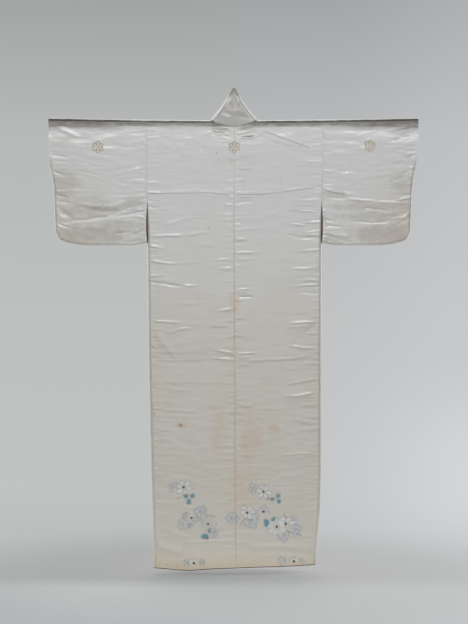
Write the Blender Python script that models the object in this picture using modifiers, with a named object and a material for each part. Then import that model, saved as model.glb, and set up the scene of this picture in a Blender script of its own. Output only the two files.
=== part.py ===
# Kosode hung flat on a rod
#
# A lined silk kosode hangs on a plain rod that runs through both sleeves. The rod's middle is
# the origin, +X points right when the garment's back is looked at, +Y points from the back to
# the front, and +Z is up. The wearer's left side lies at -X. All lengths are in metres.
#
# Each piece of cloth is a grid of points placed by a function and thickened to a wall. Pieces
# that are sewn together meet edge to edge, or lap, with a small gap between them.

from collections import namedtuple
import math

import bmesh
import bpy

# Cloth and rod
WALL = 0.002
LINING_WALL = 0.001
GAP = 0.0003
ROD_RADIUS = 0.0123
ROD_LENGTH = 1.25
ROD_BOW = 0.008
ROD_POINTS = 13

# Depth of the cloth's middle surface in front of and behind the rod's axis
DEPTH = ROD_RADIUS + 0.0005 + WALL / 2
LAP_STEP = WALL + GAP
LINING_INSET = 0.0022
FRONT_LIFT = 2 * WALL + GAP + 0.001
SEAM_DEPTH = (WALL + GAP) / 2

# Heights, all measured down from the rod's axis
CENTRE_SEAM_TOP = -0.002
ARMHOLE_END = -0.254
SLIT_END = -0.410
SIDE_OPEN = -0.270
SIDE_CLOSED = -0.420
WRIST_OPEN = -0.119
WRIST_END = -0.199
SLEEVE_BOTTOM = -0.415
LINING_START = ARMHOLE_END + 0.020
LINING_END = {"body": -0.366, "sleeve": -0.396}
COLLAR_END = -0.780

# Body, okumi and collar
SIDE_CLOSING = 0.042
LIFT_EDGE = 0.290
LIFT_RAMP = 0.038
SLIT_BODY = 0.0035
SLIT_SLEEVE = 0.005
SLIT_FRONT_SHARE = 0.2
SLIT_WIDEST = 0.5
OKUMI_SEAM = 0.020
OKUMI_WIDTH = 0.135
OKUMI_TOP = -0.125
NECK_LAP = 0.006
NECK_CUT_WIDTH = 0.0744
NECK_CUT_TOP = 0.016
NECK_CUT_CURVE = 0.667
COLLAR_WIDTH = 0.123
COLLAR_LEAN = 0.40

# Collar where it stands above the rod, as half of a symmetric triangle
NECK_SEAM_DIP = -0.007
NECK_SEAM_CURVE = 1.5
NECK_POINT = 0.080
COLLAR_FOOT = 0.0168
TAPER_HEIGHT = 0.124
BEND_FITTING_STEPS = 12
COLLAR_TIP = 0.1265
TIP_HALF_WIDTH = 0.0055
TIP_DEPTH = 0.0025
COLLAR_HOLLOW = 0.006

# Sleeve corner
CORNER_SLOPE = 0.025
CORNER_SLOPE_LENGTH = 0.12
CORNER_ROUND = 0.030
CORNER_ROUND_LENGTH = 0.024
INNER_CORNER = 0.008
INNER_CORNER_LENGTH = 0.060
SLEEVE_CLOSING = 0.055

# Half width of the body at its side seams
SideRow = namedtuple("SideRow", "z left right")
SIDE_SEAM = (
    SideRow(0.000, 0.2960, 0.2974),
    SideRow(-0.500, 0.2958, 0.2958),
    SideRow(-0.800, 0.2926, 0.2940),
    SideRow(-1.050, 0.2875, 0.2932),
    SideRow(-1.200, 0.2842, 0.2928),
    SideRow(-1.330, 0.2806, 0.2915),
    SideRow(-1.400, 0.2790, 0.2858),
    SideRow(-1.460, 0.2772, 0.2808),
    SideRow(-1.530, 0.2754, 0.2796),
)

# Height of the hem across the garment
HemRow = namedtuple("HemRow", "x z")
HEM = (
    HemRow(-0.300, -1.512),
    HemRow(-0.253, -1.5195),
    HemRow(-0.200, -1.5268),
    HemRow(-0.150, -1.5298),
    HemRow(-0.080, -1.5246),
    HemRow(0.000, -1.5218),
    HemRow(0.080, -1.5186),
    HemRow(0.160, -1.5160),
    HemRow(0.230, -1.5108),
    HemRow(0.300, -1.5020),
)

# Distance of the sleeve's outer edge from the middle
CuffRow = namedtuple("CuffRow", "z left right")
CUFF = (
    CuffRow(0.020, 0.6360, 0.6335),
    CuffRow(-0.055, 0.6355, 0.6330),
    CuffRow(-0.117, 0.6318, 0.6272),
    CuffRow(-0.165, 0.6262, 0.6200),
    CuffRow(-0.213, 0.6190, 0.6142),
    CuffRow(-0.260, 0.6165, 0.6112),
    CuffRow(-0.312, 0.6152, 0.6090),
    CuffRow(-0.360, 0.6120, 0.6062),
)

# The largest folds. Each runs from x0, z0 to x1, z1 and hangs lower in the middle by sag.
# A positive height is a ridge on the outside of the cloth, a negative one a trough. Each dies
# out over a fifth of its length at either end.
FOLD_END = 0.2
Fold = namedtuple("Fold", "x0 z0 x1 z1 sag height width")
BODY_BACK_FOLDS = (
    Fold(-0.076, -0.018, -0.020, -0.030, 0.002, -0.0030, 0.010),
    Fold(0.015, -0.030, 0.078, -0.024, 0.002, -0.0030, 0.010),
    Fold(-0.285, -0.235, 0.285, -0.222, 0.012, 0.0030, 0.016),
    Fold(-0.278, -0.545, -0.120, -0.560, 0.004, 0.0030, 0.020),
    Fold(0.100, -0.540, 0.285, -0.500, 0.004, 0.0030, 0.022),
    Fold(-0.260, -0.806, -0.005, -0.806, 0.000, -0.0030, 0.022),
    Fold(0.170, -0.700, 0.285, -0.680, 0.000, 0.0030, 0.022),
    Fold(-0.270, -0.720, -0.195, -0.800, 0.000, 0.0030, 0.024),
    Fold(0.165, -1.132, 0.285, -1.132, 0.000, 0.0035, 0.024),
    Fold(0.150, -0.930, 0.280, -0.930, 0.000, 0.0025, 0.024),
)
SLEEVE_LEFT_FOLDS = (
    Fold(-0.603, -0.334, -0.301, -0.261, 0.018, 0.0040, 0.016),
    Fold(-0.613, -0.200, -0.301, -0.243, 0.060, -0.0035, 0.022),
    Fold(-0.603, -0.030, -0.500, -0.062, 0.000, -0.0035, 0.016),
    Fold(-0.420, -0.370, -0.301, -0.355, 0.000, 0.0025, 0.016),
)
SLEEVE_RIGHT_FOLDS = (
    Fold(0.309, -0.250, 0.611, -0.271, 0.004, 0.0040, 0.016),
    Fold(0.309, -0.226, 0.480, -0.246, 0.000, -0.0035, 0.016),
    Fold(0.365, -0.336, 0.587, -0.322, 0.004, 0.0030, 0.016),
    Fold(0.520, -0.040, 0.605, -0.018, 0.000, -0.0030, 0.016),
)

LEFT = -1
RIGHT = 1
BACK = 0
SIDE_NAMES = {LEFT: "left", RIGHT: "right"}

# Depth of the collar's layers from the rod's axis, at the foot and at the tip of the standing
# collar. The left front lies over the right one.
LayerDepth = namedtuple("LayerDepth", "foot tip")
COLLAR_DEPTHS = {
    BACK: LayerDepth(DEPTH + LAP_STEP, TIP_DEPTH),
    RIGHT: LayerDepth(DEPTH + LAP_STEP, TIP_DEPTH),
    LEFT: LayerDepth(DEPTH + LAP_STEP + FRONT_LIFT, TIP_DEPTH + LAP_STEP + GAP),
}

# A station says where along its length a row of points lies: on the back or the front, by how
# far down it is from 0 at the rod to 1 at the lower edge, or over the rod, by its angle.
Station = namedtuple("Station", "part value")

# Columns of points across a body piece, closer together where the side seam closes
BODY_COLUMNS = (0.0, 0.2, 0.4, 0.6, 0.75, 0.86, 0.92, 0.965, 1.0)
SLEEVE_COLUMNS = (0.0, 0.045, 0.14, 0.28, 0.44, 0.60, 0.74, 0.85, 0.92, 0.965, 1.0)
OKUMI_COLUMNS = (0.0, 0.33, 0.67, 1.0)

# Rows of points along each piece
BACK_STEPS = 44
OVER_STEPS = 10
FRONT_STEPS = 34
ROW_CROWDING = 1.25
SLEEVE_STEPS = 20
OKUMI_STEPS = 24
COLLAR_BACK_STEPS = 5
COLLAR_BEND_STEPS = 10
COLLAR_FRONT_STEPS = 20
COLLAR_ROWS = 7


def ease(t):
    """Rise smoothly from 0 to 1 while t goes from 0 to 1."""
    t = min(max(t, 0.0), 1.0)
    return t * t * (3 - 2 * t)


def mix(a, b, t):
    return a + (b - a) * t


def read_table(rows, key, at, column):
    """Read a table between its rows, in a straight line from one row to the next."""
    ordered = sorted(rows, key=lambda row: getattr(row, key))
    below = ordered[0]
    for above in ordered[1:]:
        if at <= getattr(above, key):
            break
        below = above
    span = getattr(above, key) - getattr(below, key)
    share = min(max((at - getattr(below, key)) / span, 0.0), 1.0)
    return mix(getattr(below, column), getattr(above, column), share)


def rod_height(x):
    """The rod bends up a little towards its ends."""
    return ROD_BOW * (x / (ROD_LENGTH / 2)) ** 2


def hem_height(x):
    return read_table(HEM, "x", x, "z")


def side_seam(side, z):
    return read_table(SIDE_SEAM, "z", z, SIDE_NAMES[side])


def slit_opening(part, z):
    """How far the slit under the armhole gapes, from 0 to 1. On the front it nearly shuts."""
    down = (ARMHOLE_END - z) / (ARMHOLE_END - SLIT_END)
    opening = ease(down / SLIT_WIDEST) * ease((1.15 - down) / (1 - SLIT_WIDEST))
    return opening * SLIT_FRONT_SHARE if part == "front" else opening


def fold_height(folds, x, z):
    """Sum of the folds at a point, each a soft ridge that dies out at its two ends."""
    total = 0.0
    for fold in folds:
        share = (x - fold.x0) / (fold.x1 - fold.x0)
        if not 0.0 < share < 1.0:
            continue
        line = mix(fold.z0, fold.z1, share) - fold.sag * 4 * share * (1 - share)
        ends = ease(share / FOLD_END) * ease((1 - share) / FOLD_END)
        total += fold.height * ends * math.exp(-(((z - line) / fold.width) ** 2))
    return total


def new_material(name, colour, roughness):
    material = bpy.data.materials.new(name)
    material.use_nodes = True
    shader = material.node_tree.nodes["Principled BSDF"]
    shader.inputs["Base Color"].default_value = (*colour, 1.0)
    shader.inputs["Roughness"].default_value = roughness
    shader.inputs["Metallic"].default_value = 0.0
    return material


def cloth_piece(name, columns, rows, place, material, wall=WALL):
    """Make a sheet of points placed by a function and thicken it evenly to both sides."""
    sheet = bmesh.new()
    bmesh.ops.create_grid(sheet, x_segments=columns, y_segments=rows, size=0.5)
    for point in sheet.verts:
        column = round((point.co.x + 0.5) * columns)
        row = round((point.co.y + 0.5) * rows)
        point.co = place(column, row)
    bmesh.ops.recalc_face_normals(sheet, faces=sheet.faces)
    mesh = bpy.data.meshes.new(name)
    sheet.to_mesh(mesh)
    sheet.free()
    mesh.shade_smooth()
    mesh.materials.append(material)
    piece = bpy.data.objects.new(name, mesh)
    solid = piece.modifiers.new("wall", "SOLIDIFY")
    solid.thickness = wall
    solid.offset = 0.0
    bpy.data.collections["kosode"].objects.link(piece)
    return piece


# Body

def neck_edge_over(angle):
    """Inner edge of a body piece where it passes over the rod beside the neck."""
    quarter = math.pi / 2
    height = DEPTH * math.sin(min(angle, quarter))
    edge = NECK_CUT_WIDTH * ((height + WALL / 2) / NECK_CUT_TOP) ** NECK_CUT_CURVE
    return mix(edge, collar_line(RIGHT, 0.0) - NECK_LAP, ease((angle - quarter) / quarter))


def front_edge(side, z):
    """Inner edge of a front body piece: the collar line, then the okumi seam."""
    return max(OKUMI_SEAM + GAP / 2, collar_line(side, z) - NECK_LAP)


def side_closing(side, x, z):
    """1 where front and back hang apart, falling to 0 at the closed side seam."""
    inset = side_seam(side, z) - abs(x)
    apart = math.sin(math.pi / 2 * min(max(inset / SIDE_CLOSING, 0.0), 1.0))
    closed = ease((z - SIDE_OPEN) / (SIDE_CLOSED - SIDE_OPEN))
    return mix(1.0, apart, closed)


def left_lift(side, x):
    """The left front lies over the right one, so it stands out between the side seams."""
    if side == RIGHT:
        return 0.0
    return FRONT_LIFT * ease((LIFT_EDGE - abs(x)) / LIFT_RAMP)


def body_stations():
    """Rows from the back hem over the rod to the front hem, closer together at the top."""
    stations = []
    for step in range(BACK_STEPS):
        stations.append(Station("back", (1 - step / BACK_STEPS) ** ROW_CROWDING))
    stations.append(Station("back", CENTRE_SEAM_TOP / hem_height(0.0)))
    stations.append(Station("back", 0.0))
    for step in range(1, OVER_STEPS):
        stations.append(Station("over", math.pi * step / OVER_STEPS))
    for step in range(FRONT_STEPS + 1):
        stations.append(Station("front", (step / FRONT_STEPS) ** ROW_CROWDING))
    return stations


def body_point(side, across, station, inward=0.0):
    """A point of a body piece. inward moves it off the piece, towards the hollow."""
    if station.part == "over":
        edge = neck_edge_over(station.value)
        x = side * mix(edge, side_seam(side, 0.0), across)
        depth = DEPTH
        if station.value > math.pi / 2:
            depth += left_lift(side, x)
        y = -depth * math.cos(station.value)
        z = rod_height(x) + DEPTH * math.sin(station.value)
        return (x, y, z)
    level = station.value * hem_height(0.0)
    if station.part == "back":
        edge = GAP / 2 if station.value > 0 else neck_edge_over(0.0)
    else:
        edge = front_edge(side, level)
    outer = side_seam(side, level) - SLIT_BODY * slit_opening(station.part, level)
    x = side * mix(edge, outer, across)
    z = mix(rod_height(x), hem_height(x), station.value)
    apart = side_closing(side, x, level)
    if station.part == "back":
        depth = mix(SEAM_DEPTH, DEPTH, apart) + apart * fold_height(BODY_BACK_FOLDS, x, z)
        return (x, inward - depth, z)
    depth = mix(SEAM_DEPTH, DEPTH + left_lift(side, x), apart)
    return (x, depth - inward, z)


def make_body(side, material):
    stations = body_stations()

    def place(column, row):
        return body_point(side, BODY_COLUMNS[column], stations[row])

    name = f"body_{SIDE_NAMES[side]}"
    cloth_piece(name, len(BODY_COLUMNS) - 1, len(stations) - 1, place, material)


# Sleeves

def sleeve_inner_edge(side, part, z):
    return side_seam(side, z) + GAP + SLIT_SLEEVE * slit_opening(part, z)


def sleeve_lower_edge(inset, width):
    """Height of the sleeve's lower edge, inset being the distance from its outer edge."""
    slope = max(0.0, 1 - inset / CORNER_SLOPE_LENGTH) ** 2
    corner = max(0.0, 1 - inset / CORNER_ROUND_LENGTH) ** 2
    inner = ease(1 - (width - inset) / INNER_CORNER_LENGTH)
    rise = CORNER_SLOPE * slope + CORNER_ROUND * corner + INNER_CORNER * inner
    return SLEEVE_BOTTOM + rise


def sleeve_stations():
    stations = [Station("back", 1 - step / SLEEVE_STEPS) for step in range(SLEEVE_STEPS)]
    for step in range(OVER_STEPS + 1):
        stations.append(Station("over", math.pi * step / OVER_STEPS))
    for step in range(1, SLEEVE_STEPS + 1):
        stations.append(Station("front", step / SLEEVE_STEPS))
    return stations


def sleeve_point(side, across, station, inward=0.0):
    """A point of a sleeve. inward moves it off the cloth, towards the hollow."""
    folds = SLEEVE_LEFT_FOLDS if side == LEFT else SLEEVE_RIGHT_FOLDS
    cuff = read_table(CUFF, "z", 0.0, SIDE_NAMES[side])
    if station.part == "over":
        x = side * mix(sleeve_inner_edge(side, station.part, 0.0), cuff, across)
        y = -DEPTH * math.cos(station.value)
        z = rod_height(x) + DEPTH * math.sin(station.value)
        return (x, y, z)
    width = cuff - side_seam(side, 0.0)
    inset = (1 - across) * width
    near = side * (cuff - inset)
    lower = sleeve_lower_edge(inset, width)
    z = mix(rod_height(near), lower, station.value)
    outer = read_table(CUFF, "z", z, SIDE_NAMES[side])
    x = side * mix(sleeve_inner_edge(side, station.part, z), outer, across)
    above = (z - lower) / SLEEVE_CLOSING
    beside = (outer - abs(x)) / SLEEVE_CLOSING
    closed = ease((z - WRIST_OPEN) / (WRIST_END - WRIST_OPEN))
    apart = math.sin(math.pi / 2 * min(max(above, 0.0), 1.0))
    apart *= mix(1.0, math.sin(math.pi / 2 * min(max(beside, 0.0), 1.0)), closed)
    depth = mix(SEAM_DEPTH, DEPTH, apart) + apart * fold_height(folds, x, z) - inward
    return (x, -depth if station.part == "back" else depth, z)


def make_sleeve(side, material):
    stations = sleeve_stations()

    def place(column, row):
        return sleeve_point(side, SLEEVE_COLUMNS[column], stations[row])

    name = f"sleeve_{SIDE_NAMES[side]}"
    cloth_piece(name, len(SLEEVE_COLUMNS) - 1, len(stations) - 1, place, material)


# Lining where it shows in the slits

def make_lining(side, of_sleeve, part, material):
    """A strip of lining just inside the cloth's open edge, made from the cloth's points."""
    if of_sleeve:
        owner = "sleeve"
        point = sleeve_point
        columns = SLEEVE_COLUMNS[:3]
        stations = sleeve_stations()
    else:
        owner = "body"
        point = body_point
        columns = BODY_COLUMNS[-4:]
        stations = body_stations()

    def shows(station):
        height = point(side, columns[0], station)[2]
        return station.part == part and LINING_END[owner] < height < LINING_START

    rows = [station for station in stations if shows(station)]

    def place(column, row):
        return point(side, columns[column], rows[row], inward=LINING_INSET)

    name = f"lining_{owner}_{SIDE_NAMES[side]}_{part}"
    cloth_piece(name, len(columns) - 1, len(rows) - 1, place, material, LINING_WALL)


# Collar

def collar_depth(layer, z):
    """Depth of a collar layer, which runs in towards the tip of the standing collar."""
    rise = min(max(z / TAPER_HEIGHT, 0.0), 1.0)
    return mix(COLLAR_DEPTHS[layer].foot, COLLAR_DEPTHS[layer].tip, rise ** 2)


def outline_normal():
    """Outward direction, in x and z, across the slanted edge of the standing collar."""
    run = NECK_POINT - TIP_HALF_WIDTH
    rise = COLLAR_TIP - COLLAR_FOOT
    length = math.hypot(run, rise)
    return rise / length, run / length


def bend_axis(side, across):
    """Where the collar's flat layers run into the bend: |x|, z and the bend's radius."""
    out_x, out_z = outline_normal()
    hollow = COLLAR_HOLLOW * 4 * across * (1 - across)
    z = mix(COLLAR_FOOT, COLLAR_TIP, across)
    radius = 0.0
    for _ in range(BEND_FITTING_STEPS):
        level = z - (radius + WALL / 2) * out_z
        radius = (collar_depth(BACK, level) + collar_depth(side, level)) / 2
    x = mix(NECK_POINT, TIP_HALF_WIDTH, across) - hollow
    return x - (radius + WALL / 2) * out_x, z - (radius + WALL / 2) * out_z, radius


def collar_line(side, z):
    """Seam between collar and front: |x| on its own side, negative past the middle."""
    start_x, start_z, _ = bend_axis(side, 0.0)
    end_x = OKUMI_SEAM - OKUMI_WIDTH
    drop = start_z - COLLAR_END
    bend = (end_x - start_x + COLLAR_LEAN * drop) / drop ** 2
    down = min(start_z - z, drop)
    return start_x - COLLAR_LEAN * down + bend * down ** 2


def collar_back(side, outward, across):
    """The back of the collar: a fan from the middle, 0, to the bend, 1."""
    bend_x, bend_z, _ = bend_axis(side, across)
    middle_z = mix(NECK_SEAM_DIP, COLLAR_TIP, across)
    z = mix(middle_z, bend_z, outward ** NECK_SEAM_CURVE)
    return (side * bend_x * outward, -collar_depth(BACK, z), z)


def collar_bend(side, angle, across):
    """The bend over the shoulder, from the back at -90 degrees to the front at 90."""
    bend_x, bend_z, radius = bend_axis(side, across)
    out_x, out_z = outline_normal()
    out = radius * math.cos(angle)
    y = radius * math.sin(angle) + radius - collar_depth(BACK, bend_z)
    return (side * (bend_x + out * out_x), y, bend_z + out * out_z)


def along_collar(side, z):
    """Direction of the collar's seam on the front, in |x| and z, pointing up."""
    step = 0.001
    slope = (collar_line(side, z + step) - collar_line(side, z - step)) / (2 * step)
    length = math.hypot(slope, 1.0)
    return slope / length, 1 / length


def collar_front(side, down, across):
    """The collar on the front: down goes from 0 at the bend to 1 at its square end."""
    foot_x, foot_z, _ = bend_axis(side, 0.0)
    tip_x, tip_z, _ = bend_axis(side, 1.0)
    lean_x, lean_z = along_collar(side, foot_z)
    first_width = (tip_z - foot_z) * lean_x - (tip_x - foot_x) * lean_z
    first_slant = (tip_x - foot_x) * lean_x + (tip_z - foot_z) * lean_z
    width = mix(first_width, COLLAR_WIDTH, ease(down / 0.25))
    slant = first_slant * (1 - ease(down / 0.5))
    hollow = COLLAR_HOLLOW * 4 * across * (1 - across) * (1 - ease(down / 0.2))
    z = mix(foot_z, COLLAR_END, down)
    x = collar_line(side, z)
    up_x, up_z = along_collar(side, z)
    x += across * (slant * up_x - width * up_z) - hollow
    z += across * (slant * up_z + width * up_x)
    return (side * x, collar_depth(side, z), z)


def make_collar(material):
    half = []
    for step in range(COLLAR_BACK_STEPS):
        half.append((collar_back, step / COLLAR_BACK_STEPS))
    for step in range(COLLAR_BEND_STEPS):
        half.append((collar_bend, math.pi * (step / COLLAR_BEND_STEPS - 0.5)))
    for step in range(COLLAR_FRONT_STEPS + 1):
        half.append((collar_front, step / COLLAR_FRONT_STEPS))
    columns = [(LEFT, *entry) for entry in reversed(half[1:])]
    columns += [(RIGHT, *entry) for entry in half]

    def place(column, row):
        side, shape, value = columns[column]
        return shape(side, value, row / COLLAR_ROWS)

    cloth_piece("collar", len(columns) - 1, COLLAR_ROWS, place, material)


# Okumi

def make_okumi(side, material):
    """The front overlap panel, from its tip under the collar to the hem."""
    def place(column, row):
        level = mix(OKUMI_TOP, hem_height(0.0), row / OKUMI_STEPS)
        inner = OKUMI_SEAM - GAP / 2
        outer = max(OKUMI_SEAM - OKUMI_WIDTH, collar_line(side, level) - NECK_LAP)
        x = side * mix(inner, outer, OKUMI_COLUMNS[column])
        z = mix(OKUMI_TOP, hem_height(x), row / OKUMI_STEPS)
        return (x, DEPTH + left_lift(side, x), z)

    name = f"okumi_{SIDE_NAMES[side]}"
    cloth_piece(name, len(OKUMI_COLUMNS) - 1, OKUMI_STEPS, place, material)


# Rod

def make_rod(material):
    """A plain round rod, a curve with a round section and closed ends."""
    curve = bpy.data.curves.new("hanging_rod", "CURVE")
    curve.dimensions = "3D"
    curve.bevel_depth = ROD_RADIUS
    curve.bevel_resolution = 4
    curve.use_fill_caps = True
    spline = curve.splines.new("POLY")
    spline.points.add(ROD_POINTS - 1)
    for index, point in enumerate(spline.points):
        x = mix(-ROD_LENGTH / 2, ROD_LENGTH / 2, index / (ROD_POINTS - 1))
        point.co = (x, 0.0, rod_height(x), 1.0)
    curve.materials.append(material)
    rod = bpy.data.objects.new("hanging_rod", curve)
    bpy.data.collections["kosode"].objects.link(rod)


def main():
    for old in list(bpy.data.objects):
        bpy.data.objects.remove(old)
    bpy.context.scene.collection.children.link(bpy.data.collections.new("kosode"))
    make_rod(new_material("rod_wood", (0.42, 0.30, 0.19), 0.55))
    for side in (LEFT, RIGHT):
        side_name = SIDE_NAMES[side]
        make_body(side, new_material(f"satin_body_{side_name}", (0.80, 0.79, 0.76), 0.38))
        make_sleeve(side, new_material(f"satin_sleeve_{side_name}", (0.79, 0.78, 0.75), 0.38))
        make_okumi(side, new_material(f"satin_okumi_{side_name}", (0.80, 0.79, 0.76), 0.38))
        for of_sleeve in (False, True):
            for part in ("back", "front"):
                lining = new_material(f"lining_{side_name}_{part}", (0.16, 0.02, 0.02), 0.6)
                make_lining(side, of_sleeve, part, lining)
    make_collar(new_material("satin_collar", (0.78, 0.77, 0.73), 0.38))


main()
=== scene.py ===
# %% [markdown]
# # A silk kosode hung flat on a rod
# A kosode is a robe sewn from one narrow bolt of silk. Two long body panels run from the back hem, over
# the shoulders, to the front hem. A sleeve is sewn to each, a narrow overlap panel widens each front, and
# a folded collar closes the neck. This one is white satin lined with dark red silk, worked with sprays of
# flowers near the hem, and it hangs with its back to us. The model of its parts comes first, as a fixed
# frame: every shell made below stands for one part of that frame and keeps its size and place.

# %% Load the frame
import math
import random
from collections import namedtuple
from functools import partial

import bmesh
import bpy
import numpy as np
from mathutils import Matrix, Vector


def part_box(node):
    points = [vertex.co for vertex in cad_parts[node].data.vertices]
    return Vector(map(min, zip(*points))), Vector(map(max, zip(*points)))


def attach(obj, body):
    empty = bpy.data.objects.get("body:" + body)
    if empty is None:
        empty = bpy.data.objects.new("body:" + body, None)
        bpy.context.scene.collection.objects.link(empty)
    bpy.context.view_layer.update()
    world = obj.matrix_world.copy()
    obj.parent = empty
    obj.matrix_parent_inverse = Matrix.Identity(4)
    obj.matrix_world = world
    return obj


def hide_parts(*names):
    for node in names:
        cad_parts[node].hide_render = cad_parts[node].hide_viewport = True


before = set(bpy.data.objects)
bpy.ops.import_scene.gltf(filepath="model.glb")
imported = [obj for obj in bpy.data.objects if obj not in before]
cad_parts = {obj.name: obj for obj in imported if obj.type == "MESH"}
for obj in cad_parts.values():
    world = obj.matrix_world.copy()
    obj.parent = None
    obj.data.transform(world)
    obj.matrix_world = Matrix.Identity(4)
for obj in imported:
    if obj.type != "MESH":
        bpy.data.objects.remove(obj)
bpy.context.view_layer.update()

BODY = "root"

# %% [markdown]
# ## The camera
# The garment is looked at straight on, from well back, so that its lines stay square. A long lens from
# five metres does that. The picture's longer side takes the full width of the sensor, so the lens follows
# from the height that the picture has to show.

# %% Camera
CAMERA_DISTANCE = 5.0
CAMERA_X = 0.0007
CAMERA_Z = -0.645
SENSOR_MM = 36.0
VIEW_HEIGHT = 2.140
BACK_PLANE = -0.0148

camera_data = bpy.data.cameras.new("camera")
camera_data.sensor_width = SENSOR_MM
camera_data.lens = SENSOR_MM * (CAMERA_DISTANCE + BACK_PLANE) / VIEW_HEIGHT
camera = bpy.data.objects.new("camera", camera_data)
camera.location = (CAMERA_X, -CAMERA_DISTANCE, CAMERA_Z)
camera.rotation_euler = (math.pi / 2, 0.0, 0.0)
bpy.context.scene.collection.objects.link(camera)
bpy.context.scene.camera = camera
print("lens", round(camera_data.lens, 2), "mm")

# %% [markdown]
# ## Sizes of the cut
# The cloth is two thin layers of silk with air between them, which the frame counts as a 2 mm wall. The
# shells made here are a little thinner, on the same middle surface, so that neighbours never touch. The
# rod gives the depth at which the cloth hangs in front of and behind it.

# %% Driving sizes
MM = 0.001
WALL = 0.002
SHELL = 0.0016
GAP = 0.0003
rod_low, rod_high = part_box("hanging_rod")
ROD_RADIUS = (rod_high.y - rod_low.y) / 2
ROD_LENGTH = rod_high.x - rod_low.x
ROD_BOW = 0.008
DEPTH = ROD_RADIUS + 0.0005 + WALL / 2
SEAM_DEPTH = (WALL + GAP) / 2
LEFT = -1
RIGHT = 1
SIDE_NAMES = {LEFT: "left", RIGHT: "right"}
print("rod radius", round(ROD_RADIUS, 4), "cloth depth", round(DEPTH, 4))


# %% Small helpers
def ease(t):
    """Rise smoothly from 0 to 1 while t goes from 0 to 1."""
    t = np.clip(t, 0.0, 1.0)
    return t * t * (3 - 2 * t)


def mix(a, b, t):
    """Go from a to b while t goes from 0 to 1."""
    return a + (b - a) * t


def bell(distance, width):
    """1 at no distance, a third at the width and nearly 0 at twice the width."""
    return np.exp(-((distance / width) ** 2))


def table_of(kind, *rows):
    """A table of bare rows, whose columns get the names of a namedtuple."""
    return [kind(*row) for row in rows]


def read_table(rows, key, at, column):
    """Read one column of a table between its rows."""
    ordered = sorted(rows, key=lambda row: getattr(row, key))
    keys = [getattr(row, key) for row in ordered]
    return np.interp(at, keys, [getattr(row, column) for row in ordered])


def rod_height(x):
    """The rod bends up a little towards its ends."""
    return ROD_BOW * (x / (ROD_LENGTH / 2)) ** 2


# %% [markdown]
# Hung cloth keeps the outline of its cut, but not quite: side seams draw in towards the hem, cuffs draw
# in below the wrist, and the hem hangs lower on one side. Short tables say where each edge runs, in
# metres, and a straight line between two rows is close enough.

# %% Outline of the hanging cloth
EdgeRow = namedtuple("EdgeRow", "z left right")
HemRow = namedtuple("HemRow", "x z")
SIDE_SEAM = table_of(
    EdgeRow,
    (0.000, 0.3010, 0.3068), (-0.140, 0.2994, 0.3062), (-0.300, 0.2960, 0.3008),
    (-0.500, 0.2958, 0.3010), (-0.800, 0.2922, 0.2996), (-1.050, 0.2862, 0.2994),
    (-1.200, 0.2822, 0.2990), (-1.330, 0.2782, 0.2960), (-1.400, 0.2772, 0.2896),
    (-1.460, 0.2760, 0.2836), (-1.530, 0.2748, 0.2816),
)
HEM = table_of(
    HemRow,
    (-0.300, -1.5180), (-0.253, -1.5225), (-0.200, -1.5270), (-0.150, -1.5298), (-0.080, -1.5246),
    (0.000, -1.5218), (0.080, -1.5186), (0.160, -1.5165), (0.230, -1.5130), (0.300, -1.5080),
)
CUFF = table_of(
    EdgeRow,
    (0.020, 0.6360, 0.6335), (-0.055, 0.6355, 0.6330), (-0.117, 0.6318, 0.6272),
    (-0.165, 0.6262, 0.6200), (-0.213, 0.6190, 0.6142), (-0.260, 0.6165, 0.6112),
    (-0.312, 0.6152, 0.6090), (-0.360, 0.6120, 0.6062),
)


def hem_height(x):
    return read_table(HEM, "x", x, "z")


def side_seam(side, z):
    return read_table(SIDE_SEAM, "z", z, SIDE_NAMES[side])


def cuff_edge(side, z):
    return read_table(CUFF, "z", z, SIDE_NAMES[side])


print("hem at the middle", round(float(hem_height(0.0)), 4))

# %% [markdown]
# ## Creases
# Satin shows every crease, because a slope of a few degrees already catches the lamp or loses it. Cloth
# that has lain folded for years also keeps creases that a simulation never makes, so they are listed one
# by one: one row each, in millimetres from the middle of the rod, with the crease's two ends, its sag
# between them, its height and its width. A positive height stands out as a ridge, a negative one is a
# trough. Short puckers along the seams and faint slack between the threads are strewn by loops around
# them, with a fixed seed.

# %% Main creases of the back
Crease = namedtuple("Crease", "x0 z0 x1 z1 sag height width")
BACK_FOLDS = table_of(
    Crease,
    (-76, -18, -20, -30, 2, -1.6, 10), (15, -30, 78, -24, 2, -1.6, 10),
    (-285, -235, 285, -222, 12, 0.5, 16), (-278, -545, -120, -560, 4, 1.0, 20),
    (100, -540, 285, -500, 4, 1.0, 22), (-260, -806, -5, -806, 0, -1.0, 22),
    (170, -700, 285, -680, 0, 1.0, 22), (-270, -720, -195, -800, 0, 1.0, 24),
    (165, -1132, 285, -1132, 0, 1.0, 24), (150, -930, 280, -930, 0, 0.9, 24),
    (-360, -1528, 360, -1530, 0, 5.0, 42),
)
NECK_CREASES = table_of(
    Crease,
    (-78, -4, -12, -14, 0, -1.2, 3.5), (-85, -17, -13, -28, 0, -1.1, 6),
    (-76, -34, -10, -46, 0, -1.2, 3.4), (-60, -52, -18, -58, 0, -0.3, 5),
    (14, -18, 84, 0, 0, 1.4, 3.8), (12, -33, 60, -24, 0, 1.2, 3.6),
    (20, -50, 80, -40, 0, 1.3, 3.6), (-40, -117, -6, -133, 0, -0.3, 8),
    (10, -126, 80, -110, 0, -0.3, 8),
)
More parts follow.
